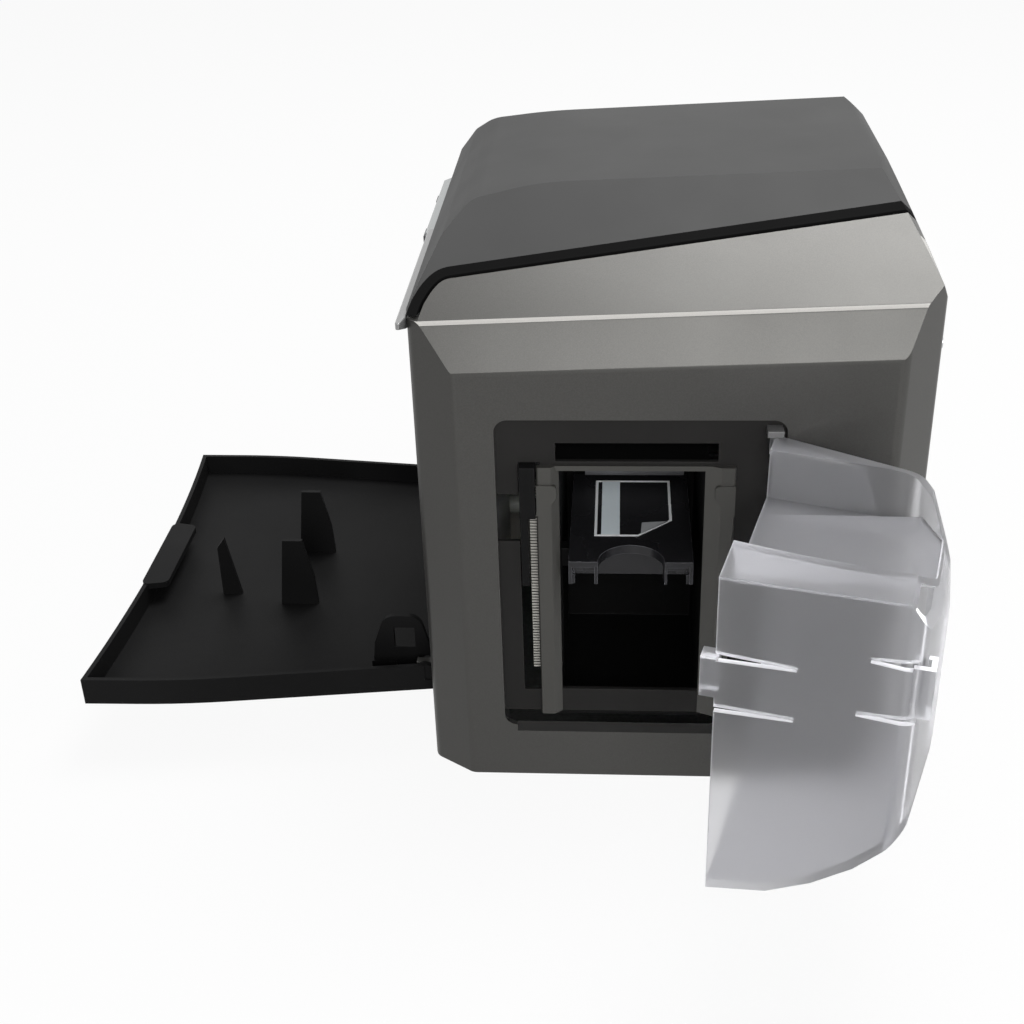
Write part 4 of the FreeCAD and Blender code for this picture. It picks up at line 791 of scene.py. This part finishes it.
@dataclass
class Hopper:
    """The card hopper's face plate, well, posts, rack and lift.

    A number that ends in _lift is how many times lighter a piece's rounded edges are, as a
    painted highlight. The pictogram's stripe lies between stripe_from and stripe_to, shares of
    its size along
    X, and its turned-up corner past fold_from along X and before fold_to along Y.
    """

    shop: Workshop
    bezel_edge: float = 0.0005
    well_edge: float = 0.0004
    post_edge: float = 0.0014
    # painted highlights: how many times lighter the rounded edges of the posts and the tray are
    post_highlight_lift: float = 2.2
    tray_edge: float = 0.0005
    tray_highlight_lift: float = 10.0
    carriage_edge: float = 0.0005
    label_edge: float = 0.00004
    tip_slope: float = 0.3
    tooth_width: float = 0.0016
    stripe_from: float = 0.06
    stripe_to: float = 0.36
    outline_width: float = 0.002
    fold_from: float = 0.55
    fold_to: float = 0.26

    def build(self) -> None:
        """Dress the hopper."""
        # the bezel's dark finish is painted shade for the recess
        self.shop.soften("hopper_bezel", BEZEL_SHADE, self.bezel_edge)
        self.shop.soften("hopper_well", WELL, self.well_edge)
        self.shop.soften("guide_posts", POST, self.post_edge, FINE_SEGMENTS, self.post_highlight_lift)
        rack = self.shop.copy("lift_rack")
        dress_by_face(rack, (SOCKET, RACK), self._rack_slot)
        self.shop.soften("input_tray", TRAY, self.tray_edge, FINE_SEGMENTS, self.tray_highlight_lift)
        self.shop.soften("lift_carriage", DOOR, self.carriage_edge)
        self.shop.keep("damper_pinion", RACK)
        label = self.shop.soften("tray_label", PRINT, self.label_edge, segments=1)
        dress_by_face(label, (PRINT, PALE_BLUE, FOLD_GREY), self._label_slot)

    def _rack_slot(self, face: bpy.types.MeshPolygon, width: float) -> int:
        """Tell the narrow tips of the rack's teeth from the rest of it."""
        tip = face.normal.y < -self.tip_slope and width < self.tooth_width
        return RackFace.TIP if tip else RackFace.GAP

    def _label_slot(self, face: bpy.types.MeshPolygon, width: float) -> int:
        """Tell the pictogram's stripe and turned-up corner from its outline.

        Args:
            face: a face of the pictogram.
            width: the face's mean width in metres.

        Returns:
            The slot of its finish.
        """
        low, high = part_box("tray_label")
        share = (face.center.x - low[0]) / (high[0] - low[0])
        depth = (face.center.y - low[1]) / (high[1] - low[1])
        if self.stripe_from < share < self.stripe_to and width > self.outline_width:
            return LabelFace.STRIPE
        corner = share > self.fold_from and depth < self.fold_to
        return LabelFace.CORNER if corner else LabelFace.OUTLINE


@dataclass
class Controls:
    """The silver strip and the control panel over the front door.

    The strip gets thinner from taper_from on, by taper_slope.
    """

    shop: Workshop
    strip_edge: float = 0.0006
    panel_edge: float = 0.0006
    button_edge: float = 0.0006
    window_edge: float = 0.0002
    light_edge: float = 0.0004
    taper_from: float = -0.092
    taper_slope: float = 0.33

    def build(self) -> None:
        """Dress the controls."""
        self._strip()
        self.shop.soften("control_panel", PANEL, self.panel_edge)
        for button in ("menu_button", "power_button"):
            self.shop.soften(button, KEY, self.button_edge, FINE_SEGMENTS)
        self.shop.soften("display_window", PANE, self.window_edge)
        self.shop.soften("status_light", LIGHT, self.light_edge)

    def _strip(self) -> None:
        """Cut the silver strip so that it runs out to a thin end at the hopper side."""
        strip = self.shop.copy("control_strip")
        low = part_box("control_strip")[0]
        pick_faces(strip, lambda face: True)
        bpy.ops.mesh.bisect(plane_co=(low[0], self.taper_from, low[2]),
                            plane_no=(0, -self.taper_slope, -1), use_fill=True,
                            clear_outer=True)
        bpy.ops.object.mode_set(mode="OBJECT")
        self.shop.round_off(strip, SILVER, self.strip_edge)


@dataclass
class Engine:
    """The chassis, rollers, cartridges, drive and electronics."""

    shop: Workshop
    edge: float = 0.0006
    rounded: tuple[str, ...] = ("ribbon_cartridge", "film_cartridge", "power_switch")
    rollers: tuple[str, ...] = ("pick", "feed", "feed_pinch", "platen", "transfer",
                                "transfer_pinch", "exit")

    def build(self) -> None:
        """Dress the inside and the rear fittings."""
        for node, finish in self._finishes().items():
            if node in self.rounded:
                self.shop.soften(node, finish, self.edge)
            else:
                self.shop.keep(node, finish)

    def _finishes(self) -> dict[str, Finish]:
        """Say what each node is dressed in.

        Returns:
            The finishes by the names of the nodes.
        """
        finishes = {
            "front_chassis_plate": SHEET, "rear_chassis_plate": SHEET, "motor_plate": SHEET,
            "power_supply": SHEET, "card_guide_rails": WELL, "print_head": ALLOY,
            "drive_motor": STEEL, "drive_pulley": ALLOY, "drive_belt": BELT,
            "main_board": BOARD, "board_standoffs": STEEL, "data_sockets": STEEL,
            "power_inlet": SOCKET, "switch_frame": SOCKET, "power_switch": KEY,
            "fan_frame": FAN, "fan_rotor": FAN,
            "ribbon_cartridge": CARTRIDGE, "film_cartridge": CARTRIDGE,
            "ribbon_supply_spool": RIBBON, "ribbon_take_up_spool": RIBBON,
            "film_supply_spool": FILM, "film_take_up_spool": FILM}
        return finishes | {name + "_roller": ROLLER for name in self.rollers}


@dataclass
class Cartridges:
    """Finger grips and spool hubs on the two cartridges' front plates.

    A reach is how far a fitting stands out of the plate, and a root how far it goes in. The
    grip of the ribbon cartridge is narrower, by ribbon_grip_share.
    """

    shop: Workshop
    grip_half: float = 0.017
    ribbon_grip_share: float = 0.7
    grip_tall: float = 0.011
    grip_reach: float = 0.009
    grip_root: float = 0.0005
    grip_wall: float = 0.0016
    grip_hollow_share: float = 0.6
    grip_edge: float = 0.0005
    ridges: int = 7
    ridge_thick: float = 0.0011
    ridge_top_share: float = 0.82
    ridge_root_share: float = 0.3
    ridge_margin: float = 0.001
    ridge_edge: float = 0.0003
    hub_radius: float = 0.0062
    hub_reach: float = 0.0026
    hub_root: float = 0.0003
    hub_rim_share: float = 0.28
    hub_sink_share: float = 0.7
    hub_ring_share: float = 0.3
    hub_rise_share: float = 0.5
    hub_edge: float = 0.00025

    def build(self) -> None:
        """Add the fittings of both cartridges."""
        for name in ("ribbon", "film"):
            self._grip(name)
            for end in ("supply", "take_up"):
                self._hub(name, end)

    def _grip(self, name: str) -> None:
        """Stand a hollowed block with upright ridges between a cartridge's two hubs.

        Args:
            name: what the cartridge holds, ribbon or film.
        """
        low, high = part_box(name + "_cartridge")
        spools = [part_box("%s_%s_spool" % (name, end)) for end in ("supply", "take_up")]
        corners = [corner for box in spools for corner in box]
        middle = sum(corner[1] for corner in corners) / len(corners)
        level = (spools[0][0][2] + spools[0][1][2]) / 2
        half = self.grip_half if name == "film" else self.grip_half * self.ribbon_grip_share
        foot, head = level - self.grip_tall / 2, level + self.grip_tall / 2
        block = start_box(name + "_grip", (low[0] - self.grip_reach, middle - half, foot),
                          (low[0] + self.grip_root, middle + half, head))
        pick_faces(block, faces_front)
        push_faces(self.grip_wall, self.grip_reach * self.grip_hollow_share)
        bpy.ops.object.mode_set(mode="OBJECT")
        round_edges(block, self.grip_edge, FINE_SEGMENTS)
        pieces = [block]
        for number in range(self.ridges):
            across = middle + half * (2 * (number + 1) / (self.ridges + 1) - 1)
            ridge = start_box("%s_ridge" % name,
                              (low[0] - self.grip_reach * self.ridge_top_share,
                               across - self.ridge_thick / 2, foot + self.ridge_margin),
                              (low[0] - self.grip_reach * self.ridge_root_share,
                               across + self.ridge_thick / 2, head - self.ridge_margin))
            round_edges(ridge, self.ridge_edge)
            pieces.append(ridge)
        grip = join_pieces(pieces)
        dress(grip, HANDLE)
        self.shop.place(grip, name + "_cartridge", "cartridge_plastic")

    def _hub(self, name: str, end: str) -> None:
        """Stand a round boss, with a sunk ring round its middle, at a spool's end.

        Args:
            name: what the cartridge holds, ribbon or film.
            end: which spool, supply or take_up.
        """
        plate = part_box(name + "_cartridge")
        low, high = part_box("%s_%s_spool" % (name, end))
        middle = (plate[0][0] - self.hub_reach / 2 + self.hub_root, (low[1] + high[1]) / 2,
                  (low[2] + high[2]) / 2)
        hub = start_disc("%s_%s_hub" % (name, end), middle, self.hub_radius,
                         self.hub_reach + 2 * self.hub_root)
        pick_faces(hub, faces_front)
        push_faces(self.hub_radius * self.hub_rim_share, self.hub_reach * self.hub_sink_share)
        push_faces(self.hub_radius * self.hub_ring_share, -self.hub_reach * self.hub_rise_share)
        bpy.ops.object.mode_set(mode="OBJECT")
        round_edges(hub, self.hub_edge)
        dress(hub, HANDLE)
        self.shop.place(hub, name + "_cartridge", "cartridge_plastic")


@dataclass(frozen=True)
class Lamp:
    """One soft square lamp.

    Attributes:
        name: the lamp's name.
        place: where it stands.
        target: where it points.
        size: length of its sides in metres.
        power: its power in watts.
    """

    name: str
    place: Point
    target: Point
    size: float
    power: float

    def build(self) -> None:
        """Stand the lamp and point it at its target."""
        data = bpy.data.lights.new(self.name, "AREA")
        data.size = self.size
        data.energy = self.power
        lamp = bpy.data.objects.new(self.name, data)
        lamp.location = self.place
        aim = Vector(self.target) - Vector(self.place)
        lamp.rotation_euler = aim.to_track_quat("-Z", "Y").to_euler()
        bpy.context.scene.collection.objects.link(lamp)


LAMPS = (Lamp("overhead_lamp", (0.38, 0.55, 2.0), (0, 0, 0.15), size=1.15, power=58.0),
         Lamp("front_lamp", (0.2, -2.2, 1.05), (0, 0, 0.15), size=1.1, power=42.0),
         Lamp("side_lamp", (1.9, -0.9, 0.7), (0, 0, 0.12), size=1.2, power=20.0))


@dataclass
class Studio:
    """Floor, world, lamps and the camera at the photograph's angle.

    The camera stands at eye and looks down by pitch, aside by yaw and tilted by roll. Its lens
    comes from focal_pixels, the focal length in pixels of a picture frame_pixels wide.
    """

    floor_level: float = -0.006
    floor_size: float = 8.0
    floor_colour: Colour = (0.5, 0.5, 0.5)
    floor_roughness: float = 0.9
    floor_glow: float = 0.93
    sky_colour: Colour = (0.97, 0.98, 1.0)
    sky_strength: float = 0.18
    white: Colour = (1.0, 1.0, 1.0)
    white_strength: float = 1.0
    eye: Point = (-0.023504, -0.727537, 0.481044)
    pitch: float = 0.512
    yaw: float = -0.084
    roll: float = -0.036
    focal_pixels: float = 1464.128
    frame_pixels: float = 1024.0
    sensor: float = 36.0
    nearest: float = 0.01

    def build(self) -> None:
        """Set the whole studio."""
        self._floor()
        self._world()
        for lamp in LAMPS:
            lamp.build()
        self._camera()
        bpy.context.scene.view_settings.view_transform = "Standard"

    def _floor(self) -> None:
        """Lay a wide pale floor that looks almost white and still shows the shadow."""
        deselect()
        bpy.ops.mesh.primitive_plane_add(size=self.floor_size,
                                         location=(0, 0, self.floor_level))
        floor = bpy.context.active_object
        floor.name = "studio_floor"
        bpy.ops.object.transform_apply(location=True)
        paint = bpy.data.materials.new("floor_white")
        paint.use_nodes = True
        tree = paint.node_tree
        shader = find_node(tree, "BSDF_PRINCIPLED")
        set_sockets(shader, {"Base Color": (*self.floor_colour, 1),
                             "Roughness": self.floor_roughness, "Specular IOR Level": 0.0})
        glow = add_node(tree, "ShaderNodeEmission", {"Strength": self.white_strength})
        share = add_node(tree, "ShaderNodeMath", {1: self.floor_glow})
        share.operation = "MULTIPLY"
        tree.links.new(self._seen(tree), share.inputs[0])
        self._mix(tree, share.outputs[0], shader, glow, find_node(tree, "OUTPUT_MATERIAL"))
        floor.data.materials.append(paint)

    def _world(self) -> None:
        """Set a world that is white where it is seen and soft grey where it lights."""
        world = bpy.data.worlds.new("studio_world")
        bpy.context.scene.world = world
        world.use_nodes = True
        tree = world.node_tree
        soft = find_node(tree, "BACKGROUND")
        set_sockets(soft, {"Color": (*self.sky_colour, 1), "Strength": self.sky_strength})
        white = add_node(tree, "ShaderNodeBackground", {
            "Color": (*self.white, 1), "Strength": self.white_strength})
        self._mix(tree, self._seen(tree), soft, white, find_node(tree, "OUTPUT_WORLD"))

    def _seen(self, tree: bpy.types.NodeTree) -> bpy.types.NodeSocket:
        """Tell the camera, glossy and transmission rays, which see white, from the rest.

        Args:
            tree: the nodes of the floor or the world.

        Returns:
            A socket that gives 1 for these rays and 0 for the rest.
        """
        ray = tree.nodes.new("ShaderNodeLightPath")
        seen = ray.outputs["Is Camera Ray"]
        for kind in ("Is Glossy Ray", "Is Transmission Ray"):
            either = tree.nodes.new("ShaderNodeMath")
            either.operation = "MAXIMUM"
            tree.links.new(seen, either.inputs[0])
            tree.links.new(ray.outputs[kind], either.inputs[1])
            seen = either.outputs[0]
        return seen

    def _mix(self, tree: bpy.types.NodeTree, share: bpy.types.NodeSocket,
             plain: bpy.types.Node, white: bpy.types.Node, output: bpy.types.Node) -> None:
        """Lead a mix of two shaders to a tree's output.

        Args:
            tree: the nodes of the floor or the world.
            share: gives the white shader's share.
            plain: the shader that lights and is lit.
            white: the shader that is seen.
            output: the tree's output.
        """
        mixed = tree.nodes.new("ShaderNodeMixShader")
        tree.links.new(share, mixed.inputs["Fac"])
        tree.links.new(plain.outputs[0], mixed.inputs[1])
        tree.links.new(white.outputs[0], mixed.inputs[2])
        tree.links.new(mixed.outputs[0], output.inputs["Surface"])

    def _camera(self) -> None:
        """Stand the camera where the photograph was taken from."""
        forward = Vector((math.sin(self.yaw) * math.cos(self.pitch),
                          math.cos(self.yaw) * math.cos(self.pitch), -math.sin(self.pitch)))
        level = Vector((math.cos(self.yaw), -math.sin(self.yaw), 0))
        above = level.cross(forward)
        right = level * math.cos(self.roll) + above * math.sin(self.roll)
        upward = above * math.cos(self.roll) - level * math.sin(self.roll)
        data = bpy.data.cameras.new("camera")
        data.sensor_width = self.sensor
        data.lens = self.sensor * self.focal_pixels / self.frame_pixels
        data.clip_start = self.nearest
        camera = bpy.data.objects.new("camera", data)
        camera.matrix_world = Matrix((
            (right.x, upward.x, -forward.x, self.eye[0]),
            (right.y, upward.y, -forward.y, self.eye[1]),
            (right.z, upward.z, -forward.z, self.eye[2]),
            (0, 0, 0, 1)))
        bpy.context.scene.collection.objects.link(camera)
        bpy.context.scene.camera = camera


def main() -> None:
    """Build the studio and each sub-assembly around the frame."""
    logging.basicConfig(level=logging.INFO, format="%(message)s")
    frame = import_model()
    shop = Workshop(frame)
    Studio().build()
    for assembly in (Casing, Doors, Hopper, Controls, Engine, Cartridges):
        assembly(shop).build()
        log.info("built %s", assembly.__name__)
    deselect()


if __name__ == "__main__":
    main()
